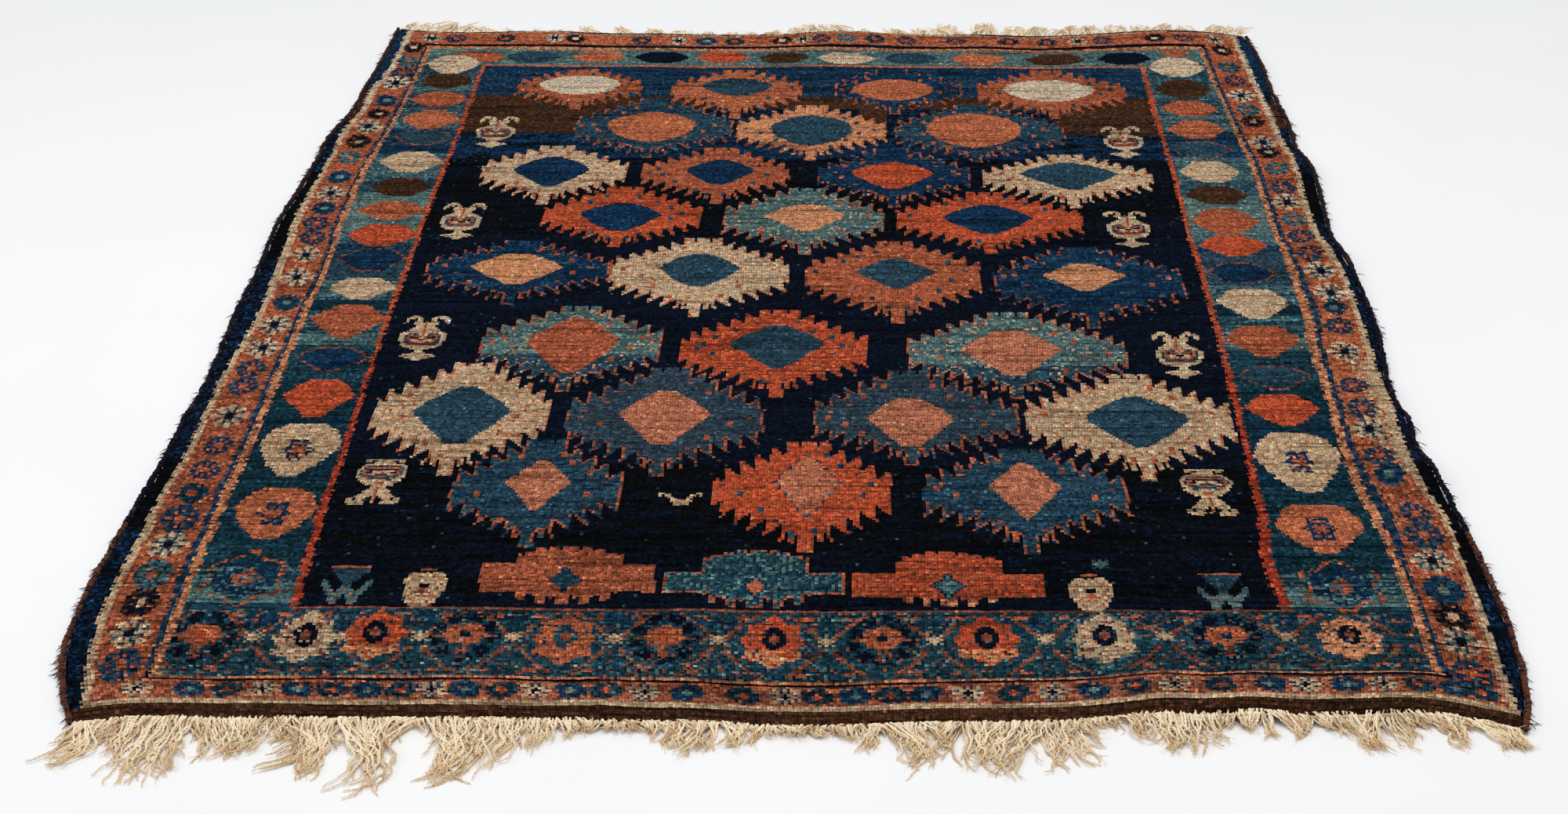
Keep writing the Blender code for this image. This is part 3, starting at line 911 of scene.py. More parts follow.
def weave_rosette(kind, x, y, wide=4.8, tall=5.4, heights=KNOT_Y):
    """An eight-petalled rosette, as uneven as a hand leaves it."""
    finish = FINISH[kind]
    across, along = knots_round(x, y, heights)
    angle = np.arctan2(along / tall, across / wide)
    radius = np.hypot(across / wide, along / tall)
    uneven = rng.random(chart.shape)
    lobes = np.cos(8 * angle + rng.uniform(-0.6, 0.6))
    dye((radius < 1.0 + 0.16 * lobes) & (uneven < finish.full), finish.petals)
    spokes = (lobes > -0.3 if kind == "cream" else lobes < -0.2) & (radius > 0.36) & (radius < 1.12)
    dye(spokes & (uneven < 0.93), finish.spokes)
    dye((abs(radius - 0.62) < 0.12) & (lobes > 0.5), "madder" if kind == "navy" else finish.spokes)
    dye(radius < 0.34, finish.eye)


for side, rosettes in ((-1, LEFT_GUARD), (1, RIGHT_GUARD)):
    lines = LEFT_LINES if side < 0 else RIGHT_LINES
    for rosette in rosettes:
        at = rosette.place * MM
        middle = (from_table(lines, "guard", at) + from_table(lines, "blue", at)) / 2
        grown = 1.2 if rosette.place < -600 or rosette.kind == "cream" else 1.0
        weave_rosette(rosette.kind, float(middle) / MM, rosette.place, 4.6 * grown, 5.6 * grown)
for rosette in BACK_GUARD:
    weave_rosette(rosette.kind, rosette.place, BACK_GUARD_LINE, 4.4, 4.2, LEVEL)
for rosette in FRONT_GUARD:
    weave_rosette(rosette.kind, rosette.place, FRONT_GUARD_LINE, 4.4, 3.5, LEVEL)
print(len(LEFT_GUARD + RIGHT_GUARD + BACK_GUARD + FRONT_GUARD), "guard rosettes")

# %% [markdown]
# ## The near end's flower border
# The last border is a row of flowers tied together by vines that cross between them.
# The crossing lines and the flowers are both simple curves, so a distance from a line
# and a wavy radius from a centre dye them better than a chart would.

# %% Flowers and vines
FLORAL_MIDDLE = -866
Flower = namedtuple("Flower", "x petals halo seed")
FLOWERS = table(
    Flower,
    (-602, "rust", "navy", "madder"), (-498, "cream", "blue", "navy"),
    (-429, "madder", "petrol", "navy"), (-338, "rust", "navy", "navy"),
    (-238, "rust", "petrol", "petrol"), (-138, "rust", "navy", "madder"),
    (-29, "madder", "blue", "navy"), (79, "rust", "navy", "navy"),
    (185, "madder", "blue", "navy"), (302, "cream", "teal", "navy"),
    (425, "rust", "navy", "indigo"), (546, "peach", "blue", "navy"),
)
floral = in_main & (LEVEL < FRONT_LINE.red * MM)
right_way = KNOT_X / MM
down_way = LEVEL / MM - FLORAL_MIDDLE
specks = rng.random(chart.shape)
dye(floral & (specks < 0.08), "brick")
dye(floral & (specks > 0.95), "sea")
dye(floral & (np.abs(specks - 0.5) < 0.10), "deep")
middles = [(a.x + b.x) / 2 for a, b in zip(FLOWERS, FLOWERS[1:])]
for middle in (-655, *middles, 600):
    offset = np.abs(right_way - middle)
    rise = np.abs(down_way + 4)
    vine = np.abs(offset - 5 - 30 * (rise / 50) ** 1.6) < 2.6
    dye(floral & vine & (rise > 9) & (rise < 56) & (specks < 0.95), "brick")
    leaf = (np.abs(offset - 22) < 7) & (np.abs(rise - 50) < 3.5)
    dye(floral & leaf & (specks < 0.7), "rust")
for flower in FLOWERS:
    across, along = knots_round(flower.x, FLORAL_MIDDLE + 6, LEVEL)
    small = flower.halo == "navy"
    angle = np.arctan2(along, across)
    lobes = 0.09 * np.cos(8 * angle)
    broken = rng.random(chart.shape)
    if small:
        radius = np.hypot(across / 6.2, (along - 1) / 5.6) - lobes
        halo = np.abs(np.hypot(across / 9.5, along / 11.5) - 0.86) < 0.2
        dye(floral & halo & (broken < 0.85) & (np.cos(9 * angle + 1) > -0.55), "navy")
        stalk = (np.abs(across) <= 1) & (along < 0) & (along > -11)
        dye(floral & stalk & (broken < 0.6), "brick")
        dye(floral & (along == 0) & (np.abs(across) < 10) & (broken < 0.6), "brick")
    else:
        radius = np.hypot(across / 9.2, (along + 0.16 * np.abs(across)) / 11.5) - lobes
        dye(floral & (radius < 1.14) & (broken < 0.7), flower.halo)
    dye(floral & (radius < 0.97) & (broken < 0.94), flower.petals)
    dye(floral & (radius < 0.97) & (broken < 0.12), "brick")
    if flower.petals == "madder":
        dye(floral & (radius < 0.97) & (along < -4) & (broken < 0.6), "peach")
    seed = np.hypot(across / (1.5 if small else 3.4), (along - 1) / (1.5 if small else 5.4))
    dye(floral & (seed < 1) & (broken < 0.9), flower.seed)
    if not small:
        dye(floral & (seed < 0.4), "brick")
for middle in middles:
    weave_chart(STAR, middle, FLORAL_MIDDLE + 3, "cream", fourfold=True, heights=LEVEL)
print(len(FLOWERS), "flowers in the near border")

# %% Older and paler creams
# The near half of the rug was woven with a browner cream, and its far end with a paler
# one, as if the flock had changed.
pale = rng.random(chart.shape)
dye((chart == YARN["cream"]) & (KNOT_Y < -0.28) & (pale < 0.7), "wheat")
dye((chart == YARN["cream"]) & (KNOT_Y > 0.6) & (pale < 0.6), "ivory")
print(int((chart == YARN["wheat"]).sum()), "knots of browner cream")

# %% [markdown]
# ## The pile
# A pile rug is a carpet of cut wool tufts about a centimetre tall. Hair particles could
# grow each tuft, but two hundred thousand knots of hair would be far too heavy.
# One quad for each knot carries the pattern, with its corners raised and sunk a little
# so that the rows catch the light; the tufts themselves are bump in the material. The
# dark browns and blacks of an old rug are etched by their iron dye, so they sit lower.

# %% The grid of knot corners
def padded_shares(count):
    shares = np.linspace(0, 1, count + 1)
    return np.concatenate([[0.0], shares, [1.0]])


corner_across, corner_along = padded_shares(COLUMNS), padded_shares(ROWS)
CORNER_X, CORNER_Y = place_on_sheet(corner_across[None, :], corner_along[:, None])
CORNER_LIFT = lift(corner_across[None, :], corner_along[:, None])
rug_low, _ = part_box("rug_pile")
SHIFT_X = rug_low[0] - float(CORNER_X.min())
SHIFT_Y = rug_low[1] - float(CORNER_Y.min())
print(f"the rug's own zero lies at {SHIFT_X * 1000:.1f}, {SHIFT_Y * 1000:.1f} mm")

# %% The relief of the pile
# Heights in millimetres; a ripple is counted in rows of knots
RELIEF_SEED = 5
TUFT_HEIGHT = 0.42
GAP_DEPTH = 1.6
HOLLOW_DEPTH = 0.35
BUNDLE_DEPTH = 0.25
RIPPLE_ROWS = 2.6
relief_rng = np.random.default_rng(RELIEF_SEED)


def smooth_noise(rows, columns, step_rows, step_columns):
    """Random heights between -1 and 1 that change slowly over a grid."""
    coarse = relief_rng.uniform(-1, 1, (rows // step_rows + 3, columns // step_columns + 3))
    r, c = np.arange(rows) / step_rows, np.arange(columns) / step_columns
    r0, c0 = r.astype(int), c.astype(int)
    fr, fc = (r - r0)[:, None], (c - c0)[None, :]
    fr, fc = fr * fr * (3 - 2 * fr), fc * fc * (3 - 2 * fc)
    low = coarse[r0][:, c0] * (1 - fc) + coarse[r0][:, c0 + 1] * fc
    high = coarse[r0 + 1][:, c0] * (1 - fc) + coarse[r0 + 1][:, c0 + 1] * fc
    return low * (1 - fr) + high * fr


def at_corners(per_knot):
    """A value per knot, averaged onto the knots' corners."""
    wide = np.pad(per_knot, 2, mode="edge")
    return (wide[1:, 1:] + wide[:-1, 1:] + wide[1:, :-1] + wide[:-1, :-1]) / 4


wear = np.array([yarn.low for yarn in YARNS])[chart]
bundles = smooth_noise(ROWS, COLUMNS, 2, 30)
ragged = smooth_noise(ROWS, COLUMNS, 1, 24) + 0.4 * smooth_noise(ROWS, COLUMNS, 1, 5)
wander = smooth_noise(ROWS, COLUMNS, 8, 34)
patches = np.clip(0.55 + smooth_noise(ROWS, COLUMNS, 9, 40), 0, 1)
ripple = np.cos(2 * np.pi * (np.arange(ROWS)[:, None] / RIPPLE_ROWS + 0.9 * wander))
nearness = np.interp(LEVEL, (-0.95, -0.6, 0.9), (1.0, 0.7, 0.3))
# row gaps: sunk in the relief below, and also darkened in the knots' colours as painted shade
row_gaps = np.clip((ripple - 0.15) / 0.6, 0, 1) * patches * nearness
row_gaps = np.clip(row_gaps + np.clip((-0.55 * bundles - ragged - 0.45) / 0.5, 0, 1), 0, 1)
hollows = smooth_noise(ROWS, COLUMNS, 9, 40)
shape = CORNER_X.shape
tufts = relief_rng.uniform(-1, 1, shape) * TUFT_HEIGHT
sinks = at_corners(
    wear + GAP_DEPTH * row_gaps - HOLLOW_DEPTH * hollows - BUNDLE_DEPTH * bundles
)
from_side = np.minimum(corner_across, 1 - corner_across)[None, :] * 2 * RUG_HALF_WIDTH
from_end = np.minimum(corner_along, 1 - corner_along)[:, None] * (RUG_BACK - RUG_FRONT)
rim = np.clip(1 - np.minimum(from_side, from_end) / RIM_SLOPE, 0, 1) ** 5
TOP = CORNER_LIFT + RUG_THICKNESS - rim * (RUG_THICKNESS - RIM_THICKNESS)
TOP += (tufts - sinks) * MM
skirt = np.zeros(shape, dtype=bool)
skirt[[0, -1], :] = skirt[:, [0, -1]] = True
TOP = np.where(skirt, CORNER_LIFT + SKIRT_HEIGHT, TOP)
print(f"pile stands {TOP[~skirt].min() / MM:.1f} to {TOP.max() / MM:.1f} mm off the floor")

# %% Colours, from the yarns to the knots
GAP_SHADE = 0.54


def linear(screen):
    """Screen values from 0 to 1 as the light they stand for."""
    screen = np.asarray(screen, dtype=float)
    return np.where(screen <= 0.04045, screen / 12.92, ((screen + 0.055) / 1.055) ** 2.4)


yarn_colours = linear(np.array([[y.red, y.green, y.blue] for y in YARNS]) / 255)
stripes = np.array([yarn.stripe for yarn in YARNS])[chart]
row_drift = smooth_noise(ROWS, COLUMNS, 3, 90) * 0.6 + smooth_noise(ROWS, COLUMNS, 1, 14) * 0.6
knot_drift = relief_rng.normal(0, 1, chart.shape).clip(-2, 2)
darkness = 1 - yarn_colours[chart].mean(axis=-1) ** 0.4
brightness = (1 + stripes * row_drift * 1.6) * np.exp((0.16 + 0.34 * darkness) * knot_drift)
# painted highlight: a few knots of dark yarn are brightened 2.2 times as a glint where a tuft
# catches the light
painted_glint = relief_rng.random(chart.shape) < 0.05 * darkness
# painted shade: knots in the gaps between rows are darkened by GAP_SHADE
brightness *= (1 - GAP_SHADE * row_gaps) * np.where(painted_glint, 2.2, 1)
KNOT_COLOURS = np.clip(yarn_colours[chart] * brightness[..., None], 0, 1)
warmth = relief_rng.uniform(-0.04, 0.04, chart.shape)
KNOT_COLOURS[..., 0] *= 1 + warmth
KNOT_COLOURS[..., 2] *= 1 - warmth
SKIRTED_COLOURS = np.pad(KNOT_COLOURS, ((1, 1), (1, 1), (0, 0)), mode="edge")
print("mean knot colour:", KNOT_COLOURS.mean(axis=(0, 1)).round(3))

# %% A cloth mesh from a grid
def put(name, data):
    """An object of the scene, from its mesh, lamp or camera."""
    made = bpy.data.objects.new(name, data)
    bpy.context.scene.collection.objects.link(made)
    return made


def cloth(name, points, colours, knots_apart=(1, 1), face_up=True):
    """A sheet of quads from rows of points, with a colour and a knot's own UV square each."""
    rows, columns = points.shape[:2]
    index = np.arange(rows * columns).reshape(rows, columns)
    quads = np.stack([index[:-1, :-1], index[:-1, 1:], index[1:, 1:], index[1:, :-1]], axis=-1)
    quads = quads.reshape(-1, 4) if face_up else quads.reshape(-1, 4)[:, ::-1]
    mesh = bpy.data.meshes.new(name)
    mesh.vertices.add(rows * columns)
    mesh.vertices.foreach_set("co", points.astype(np.float32).ravel())
    mesh.loops.add(quads.size)
    mesh.loops.foreach_set("vertex_index", quads.astype(np.int32).ravel())
    mesh.polygons.add(len(quads))
    mesh.polygons.foreach_set("loop_start", np.arange(0, quads.size, 4, dtype=np.int32))
    mesh.update(calc_edges=True)
    values = np.ones((len(quads), 4, 4), dtype=np.float32)
    values[..., :3] = colours.reshape(-1, 1, 3)
    mesh.attributes.new("knot_colour", "FLOAT_COLOR", "CORNER").data.foreach_set(
        "color", values.ravel()
    )
    uv = mesh.uv_layers.new(name="knots")
    corners = np.stack([quads % columns, quads // columns], axis=-1) * np.array(knots_apart)
    uv.data.foreach_set("uv", corners.astype(np.float32).ravel())
    print(f"{name}: {2 * len(quads)} triangles")
    return put(name, mesh)


top_points = np.stack([CORNER_X + SHIFT_X, CORNER_Y + SHIFT_Y, TOP], axis=-1)
PANEL_ROWS = 171
cuts = (0, PANEL_ROWS, 2 * PANEL_ROWS, ROWS + 2)
pile_pieces = [
    cloth(name, top_points[low : high + 1], SKIRTED_COLOURS[low:high])
    for name, low, high in zip(("pile_near", "pile_middle", "pile_far"), cuts, cuts[1:])
]

# %% [markdown]
# ## The back of the weave
# Turned over, a knotted rug shows the same pattern as small flat loops, a little paler
# and crisper than the pile. It only ever lies on the floor, so a sixth of the pile's
# points are plenty, and it closes the pile's skirt from below.

# %% The back
back_points = np.stack(
    [CORNER_X + SHIFT_X, CORNER_Y + SHIFT_Y, CORNER_LIFT + SKIRT_HEIGHT], axis=-1
)[1:-1:2, 1:-1:3]
FADED, CHALKY = 0.85, 0.03
back_colours = KNOT_COLOURS[::2, 1::3] * FADED + CHALKY
rug_back = cloth("rug_back", back_points, back_colours, knots_apart=(3, 2), face_up=False)

# %% [markdown]
# ## Yarns and cords as geometry nodes
# A fringe is hundreds of the same thing, two plies of cotton twisted round each other,
# and a side cord is one wrap of wool after another. Modelling each by hand is hopeless
# and a texture would show flat edges at the rim. A node tree builds them instead: the
# script only draws a guide line for each yarn, and the tree turns guides into twisted
# plies, or rings a path with wraps.

# %% A few helpers for node trees
def new_tree(name, sizes):
    """A geometry tree with named inputs, and its input and output nodes."""
    tree = bpy.data.node_groups.new(name, "GeometryNodeTree")
    tree.interface.new_socket("Guides", in_out="INPUT", socket_type="NodeSocketGeometry")
    for label, value in sizes.items():
        kind = "NodeSocketInt" if isinstance(value, int) else "NodeSocketFloat"
        tree.interface.new_socket(label, in_out="INPUT", socket_type=kind).default_value = value
    tree.interface.new_socket("Finish", in_out="INPUT", socket_type="NodeSocketMaterial")
    tree.interface.new_socket("Mesh", in_out="OUTPUT", socket_type="NodeSocketGeometry")
    return tree, tree.nodes.new("NodeGroupInput"), tree.nodes.new("NodeGroupOutput")


def step(tree, kind, feeds=None, **settings):
    """One node of a tree: its settings, and what feeds each of its sockets."""
    made = tree.nodes.new(kind)
    for key, value in settings.items():
        setattr(made, key, value)
    for key, source in (feeds or {}).items():
        if isinstance(source, bpy.types.Node):
            source = source.outputs[0]
        if isinstance(source, bpy.types.NodeSocket):
            tree.links.new(source, made.inputs[key])
        else:
            made.inputs[key].default_value = source
    return made


def number(tree, operation, *terms):
    """A node that works out a number."""
    return step(tree, "ShaderNodeMath", dict(enumerate(terms)), operation=operation)


def vector(tree, operation, first, second):
    """A node that works out a vector."""
    feeds = {0: first, "Scale" if operation == "SCALE" else 1: second}
    return step(tree, "ShaderNodeVectorMath", feeds, operation=operation)


def noise(tree, place, scale, detail, **more):
    """Smooth noise over a place."""
    feeds = {"Vector": place, "Scale": scale, "Detail": detail, **more}
    return step(tree, "ShaderNodeTexNoise", feeds)


def spread(tree, value, low, high, to_low, to_high, **settings):
    """A value moved from one span of numbers to another."""
    spans = {"From Min": low, "From Max": high, "To Min": to_low, "To Max": to_high}
    return step(tree, "ShaderNodeMapRange", {"Value": value, **spans}, **settings)


def finish_tree(tree, geometry, takes, gives):
    """The last nodes of a tree: one plain mesh in its finish."""
    whole = step(tree, "GeometryNodeRealizeInstances", {"Geometry": geometry})
    dressed = step(
        tree, "GeometryNodeSetMaterial",
        {"Geometry": whole, "Material": takes.outputs["Finish"]},
    )
    tree.links.new(dressed.outputs[0], gives.inputs[0])
    print(f"{tree.name} tree:", len(tree.nodes), "nodes")


def grow(name, guides, tree, finish, **sizes):
    """Run a tree over guide lines and keep a plain mesh; what would dip lies on the floor."""
    modifier = guides.modifiers.new(tree.name, "NODES")
    modifier.node_group = tree
    for item in tree.interface.items_tree:
        if item.in_out == "INPUT" and item.name in sizes:
            modifier[item.identifier] = sizes[item.name]
        elif item.in_out == "INPUT" and item.name == "Finish":
            modifier[item.identifier] = finish
    graph = bpy.context.evaluated_depsgraph_get()
    mesh = bpy.data.meshes.new_from_object(guides.evaluated_get(graph))
    mesh.name = name
    places = np.empty(len(mesh.vertices) * 3, dtype=np.float32)
    mesh.vertices.foreach_get("co", places)
    places[2::3] = np.maximum(places[2::3], 0.0)
    mesh.vertices.foreach_set("co", places)
    guides.modifiers.clear()
    bpy.data.objects.remove(guides)
    mesh.shade_smooth()
    mesh.calc_loop_triangles()
    print(f"{name}: {len(mesh.loop_triangles)} triangles")
    return put(name, mesh)


def guide_lines(name, lines, tints):
    """An object of open polylines, one for each yarn, with a tint and a share of its length."""
    count, points = lines.shape[:2]
    index = np.arange(count * points).reshape(count, points)
    edges = np.stack([index[:, :-1].ravel(), index[:, 1:].ravel()], axis=-1)
    mesh = bpy.data.meshes.new(name)
    mesh.from_pydata(lines.reshape(-1, 3).tolist(), edges.tolist(), [])
    tint = mesh.attributes.new("tint", "FLOAT", "POINT")
    tint.data.foreach_set("value", np.repeat(tints, points).astype(np.float32))
    share = mesh.attributes.new("share", "FLOAT", "POINT")
    share.data.foreach_set("value", np.tile(np.linspace(0, 1, points), count).astype(np.float32))
    return put(name, mesh)


# %% The tree that twists a yarn from two plies
plied, takes, gives = new_tree("plied_yarn", {
    "Ply Radius": 0.001, "Lay": 0.009, "Segment Length": 0.003, "Sides": 5,
    "Tip": 0.35, "Curl": 0.002, "Seed": 1,
})
given = takes.outputs
lines = step(plied, "GeometryNodeMeshToCurve", {"Mesh": given["Guides"]})
even = step(
    plied, "GeometryNodeResampleCurve",
    {"Curve": lines, "Length": given["Segment Length"]}, mode="LENGTH",
)
along_yarn = step(plied, "GeometryNodeSplineParameter")
where = step(plied, "GeometryNodeInputPosition")
wander = noise(plied, vector(plied, "ADD", where, given["Seed"]), 55.0, 1.0)
centred = vector(plied, "SUBTRACT", wander.outputs["Color"], (0.5, 0.5, 0.5))
flat = vector(plied, "MULTIPLY", centred, (2.0, 2.0, 0.35))
late = number(plied, "MULTIPLY", along_yarn.outputs["Factor"], given["Curl"])
bend = vector(plied, "SCALE", flat, late)
curled = step(plied, "GeometryNodeSetPosition", {"Geometry": even, "Offset": bend})
turns = number(plied, "DIVIDE", along_yarn.outputs["Length"], given["Lay"])
angle = number(plied, "MULTIPLY", turns, 2 * math.pi)
tangent = step(plied, "GeometryNodeInputTangent")
normal = step(plied, "GeometryNodeInputNormal")
binormal = vector(plied, "CROSS_PRODUCT", tangent, normal)
pair = step(plied, "GeometryNodeJoinGeometry")
for side in (0.0, math.pi):
    turned = number(plied, "ADD", angle, side)
    reaches = []
    for wave, direction in (("COSINE", normal), ("SINE", binormal)):
        size = number(plied, "MULTIPLY", number(plied, wave, turned), given["Ply Radius"])
        reaches.append(vector(plied, "SCALE", direction, size))
    offset = vector(plied, "ADD", *reaches)
    ply = step(plied, "GeometryNodeSetPosition", {"Geometry": curled, "Offset": offset})
    plied.links.new(ply.outputs[0], pair.inputs[0])
thin = spread(plied, along_yarn.outputs["Factor"], 0.6, 1.0, 1.0, given["Tip"])
section = step(
    plied, "GeometryNodeCurvePrimitiveCircle",
    {"Resolution": given["Sides"], "Radius": given["Ply Radius"]},
)
tubes = step(
    plied, "GeometryNodeCurveToMesh",
    {"Curve": pair, "Profile Curve": section, "Scale": thin, "Fill Caps": True},
)
finish_tree(plied, tubes, takes, gives)

# %% [markdown]
# ## Finishes
# Wool pile is the matt end of a brush, with almost no gloss. The knots' colours come
# from the mesh attribute, and the material adds what is smaller than a knot: fibre
# streaks, painted shade in the groove round each tuft and a little painted highlight
# on its crown. Cotton yarn and overcast wool get their
# own tints from the attribute that each yarn carries.

# %% Helpers for materials
def ink(colour):
    """A screen colour from 0 to 255 as a shader takes it."""
    return (*linear(np.array(colour) / 255), 1.0)


def new_finish(name, colour, roughness, sheen):
    """A material, its tree and its main shader."""
    material = bpy.data.materials.new(name)
    material.use_nodes = True
    tree = material.node_tree
    shader = tree.nodes["Principled BSDF"]
    for label, value in (
        ("Base Color", ink(colour)), ("Roughness", roughness), ("Sheen Weight", sheen),
        ("Sheen Roughness", 0.5), ("Specular IOR Level", 0.03),
    ):
        shader.inputs[label].default_value = value
    return material, tree, shader


def roughen(tree, shader, height, strength, distance):
    """Bump a surface by a height."""
    feeds = {"Strength": strength, "Distance": distance, "Height": height}
    bump = step(tree, "ShaderNodeBump", feeds)
    tree.links.new(bump.outputs[0], shader.inputs["Normal"])


def knotted_finish(name, bump_height, groove):
    """Coloured knots with fibres, painted shade in a groove round each tuft and a slightly lighter
    crown.
    """
    material, tree, shader = new_finish(name, (120, 90, 80), 0.95, 0.0)
    knots = step(tree, "ShaderNodeAttribute", attribute_name="knot_colour")
    squares = step(tree, "ShaderNodeUVMap", uv_map="knots")
    place = step(tree, "ShaderNodeTexCoord").outputs["Object"]
    fibres = noise(tree, place, 900.0, 3.0, Roughness=0.7)
    wisps = noise(tree, place, 140.0, 3.0, Roughness=0.6)
    jitter = noise(tree, squares, 0.9, 2.0, Roughness=0.6)
    pushed = vector(tree, "SUBTRACT", jitter.outputs["Color"], (0.5, 0.5, 0.5))
    loose = vector(tree, "ADD", squares, vector(tree, "SCALE", pushed, 0.9))
    tuft = step(
        tree, "ShaderNodeTexVoronoi", {"Vector": loose, "Scale": 1.0, "Randomness": 0.45},
        voronoi_dimensions="2D",
    )
    crown = spread(
        tree, tuft.outputs["Distance"], 0.12, 0.72, 1.0, 0.0, interpolation_type="SMOOTHSTEP"
    )
    # painted shade: the base colour is darkened in the groove round each tuft, and lifted a little
    # on its crown as a painted highlight
    shade = spread(tree, crown, 0.0, 1.0, 1.0 - groove, 1.08)
    streak = spread(tree, wisps, 0.3, 0.7, 0.76, 1.24)
    both = number(tree, "MULTIPLY", shade, streak)
    tone = vector(tree, "SCALE", knots.outputs["Color"], both)
    tree.links.new(tone.outputs[0], shader.inputs["Base Color"])
    height = number(tree, "MULTIPLY_ADD", fibres, 0.5, crown)
    roughen(tree, shader, height, 0.8, bump_height)
    return material


pile_finish = knotted_finish("pile_wool", 0.0026, 0.46)
back_finish = knotted_finish("woven_back", 0.0007, 0.25)
for piece in pile_pieces:
    piece.data.materials.append(pile_finish)
rug_back.data.materials.append(back_finish)


def yarn_finish(name, dark, light, tip):
    """A yarn whose tone follows its own tint and turns at its tip, with a fibrous surface."""
    material, tree, shader = new_finish(name, light, 0.9, 0.03)
    tint = step(tree, "ShaderNodeAttribute", attribute_name="tint").outputs["Fac"]
    share = step(tree, "ShaderNodeAttribute", attribute_name="share").outputs["Fac"]
    place = step(tree, "ShaderNodeTexCoord").outputs["Object"]
    fibres = noise(tree, place, 700.0, 3.0)
    mottle = noise(tree, place, 60.0, 2.0)
    ramp = step(tree, "ShaderNodeValToRGB", {"Fac": number(tree, "ADD", tint, mottle)})
    first, last = ramp.color_ramp.elements
    first.position, first.color = 0.45, ink(dark)
    last.position, last.color = 0.9, ink(light)
    late = spread(tree, share, 0.45, 1.0, 0.0, 0.65)
    toned = step(
        tree, "ShaderNodeMixRGB", {"Fac": late, "Color1": ramp, "Color2": ink(tip)}
    )
    tree.links.new(toned.outputs[0], shader.inputs["Base Color"])
    roughen(tree, shader, fibres, 0.6, 0.0004)
    return material


cotton = yarn_finish("warp_cotton", (200, 166, 128), (255, 238, 208), (222, 182, 124))
brown_wool = yarn_finish("overcast_wool", (14, 15, 32), (102, 60, 42), (84, 52, 36))

# %% [markdown]
# ## The fringes
# The fringe is the rug's own warp: each yarn comes out under the last row of knots,
# drops to the floor and lies there. Neighbours cling together into locks, and the
# locks curl at their tips. Each yarn gets a guide line of a dozen points that knows
# its root, its lock and the length the table gives there.

# %% Where the fringes run
FringeStation = namedtuple("FringeStation", "across length lean")
FRONT_FRINGE = table(
    FringeStation,
    (-693, 71, -22), (-668, 70, -22), (-650, 33, -5), (-622, 93, -10), (-590, 72, 4),
    (-540, 52, 0), (-503, 54, -3), (-484, 86, 3), (-455, 74, 0), (-434, 98, -2), (-420, 54, 0),
    (-406, 97, 0), (-386, 30, -4), (-345, 77, 4), (-311, 86, 8), (-270, 55, 0), (-218, 21, 3),
    (-192, 6, 0), (-150, 16, 2), (-118, 38, 0), (-68, 42, 2), (-20, 14, 0), (50, 22, 2),
    (88, 54, 0), (108, 80, 2), (126, 30, 0), (163, 71, 4), (180, 48, 3), (208, 79, 2),
    (226, 54, 0), (252, 77, 0), (283, 13, 2), (340, 46, 4), (376, 54, 8), (402, 9, 2),
    (446, 31, 6), (500, 14, 6), (542, 48, 10), (590, 11, 11), (626, 43, 14), (682, 27, 7),
)
BACK_FRINGE = table(
    FringeStation,
    (-690, 34, 4), (-655, 50, -6), (-610, 46, 6), (-540, 32, -4), (-450, 26, 6), (-370, 42, 4),
    (-290, 32, -6), (-170, 18, 4), (-60, 34, 4), (30, 54, -4), (90, 34, 4), (160, 32, 4),
    (240, 66, 8), (320, 58, 10), (400, 50, 6), (520, 54, 8), (600, 48, 10), (660, 66, 18),
    (690, 40, 14),
)


def edge_line(end, x):
    """(y, lift) of the sheet's front or back rim at places across, in the rug's own metres."""
    row = 0 if end < 0 else -1
    places = CORNER_X[row]
    return np.interp(x, places, CORNER_Y[row]), np.interp(x, places, CORNER_LIFT[row])


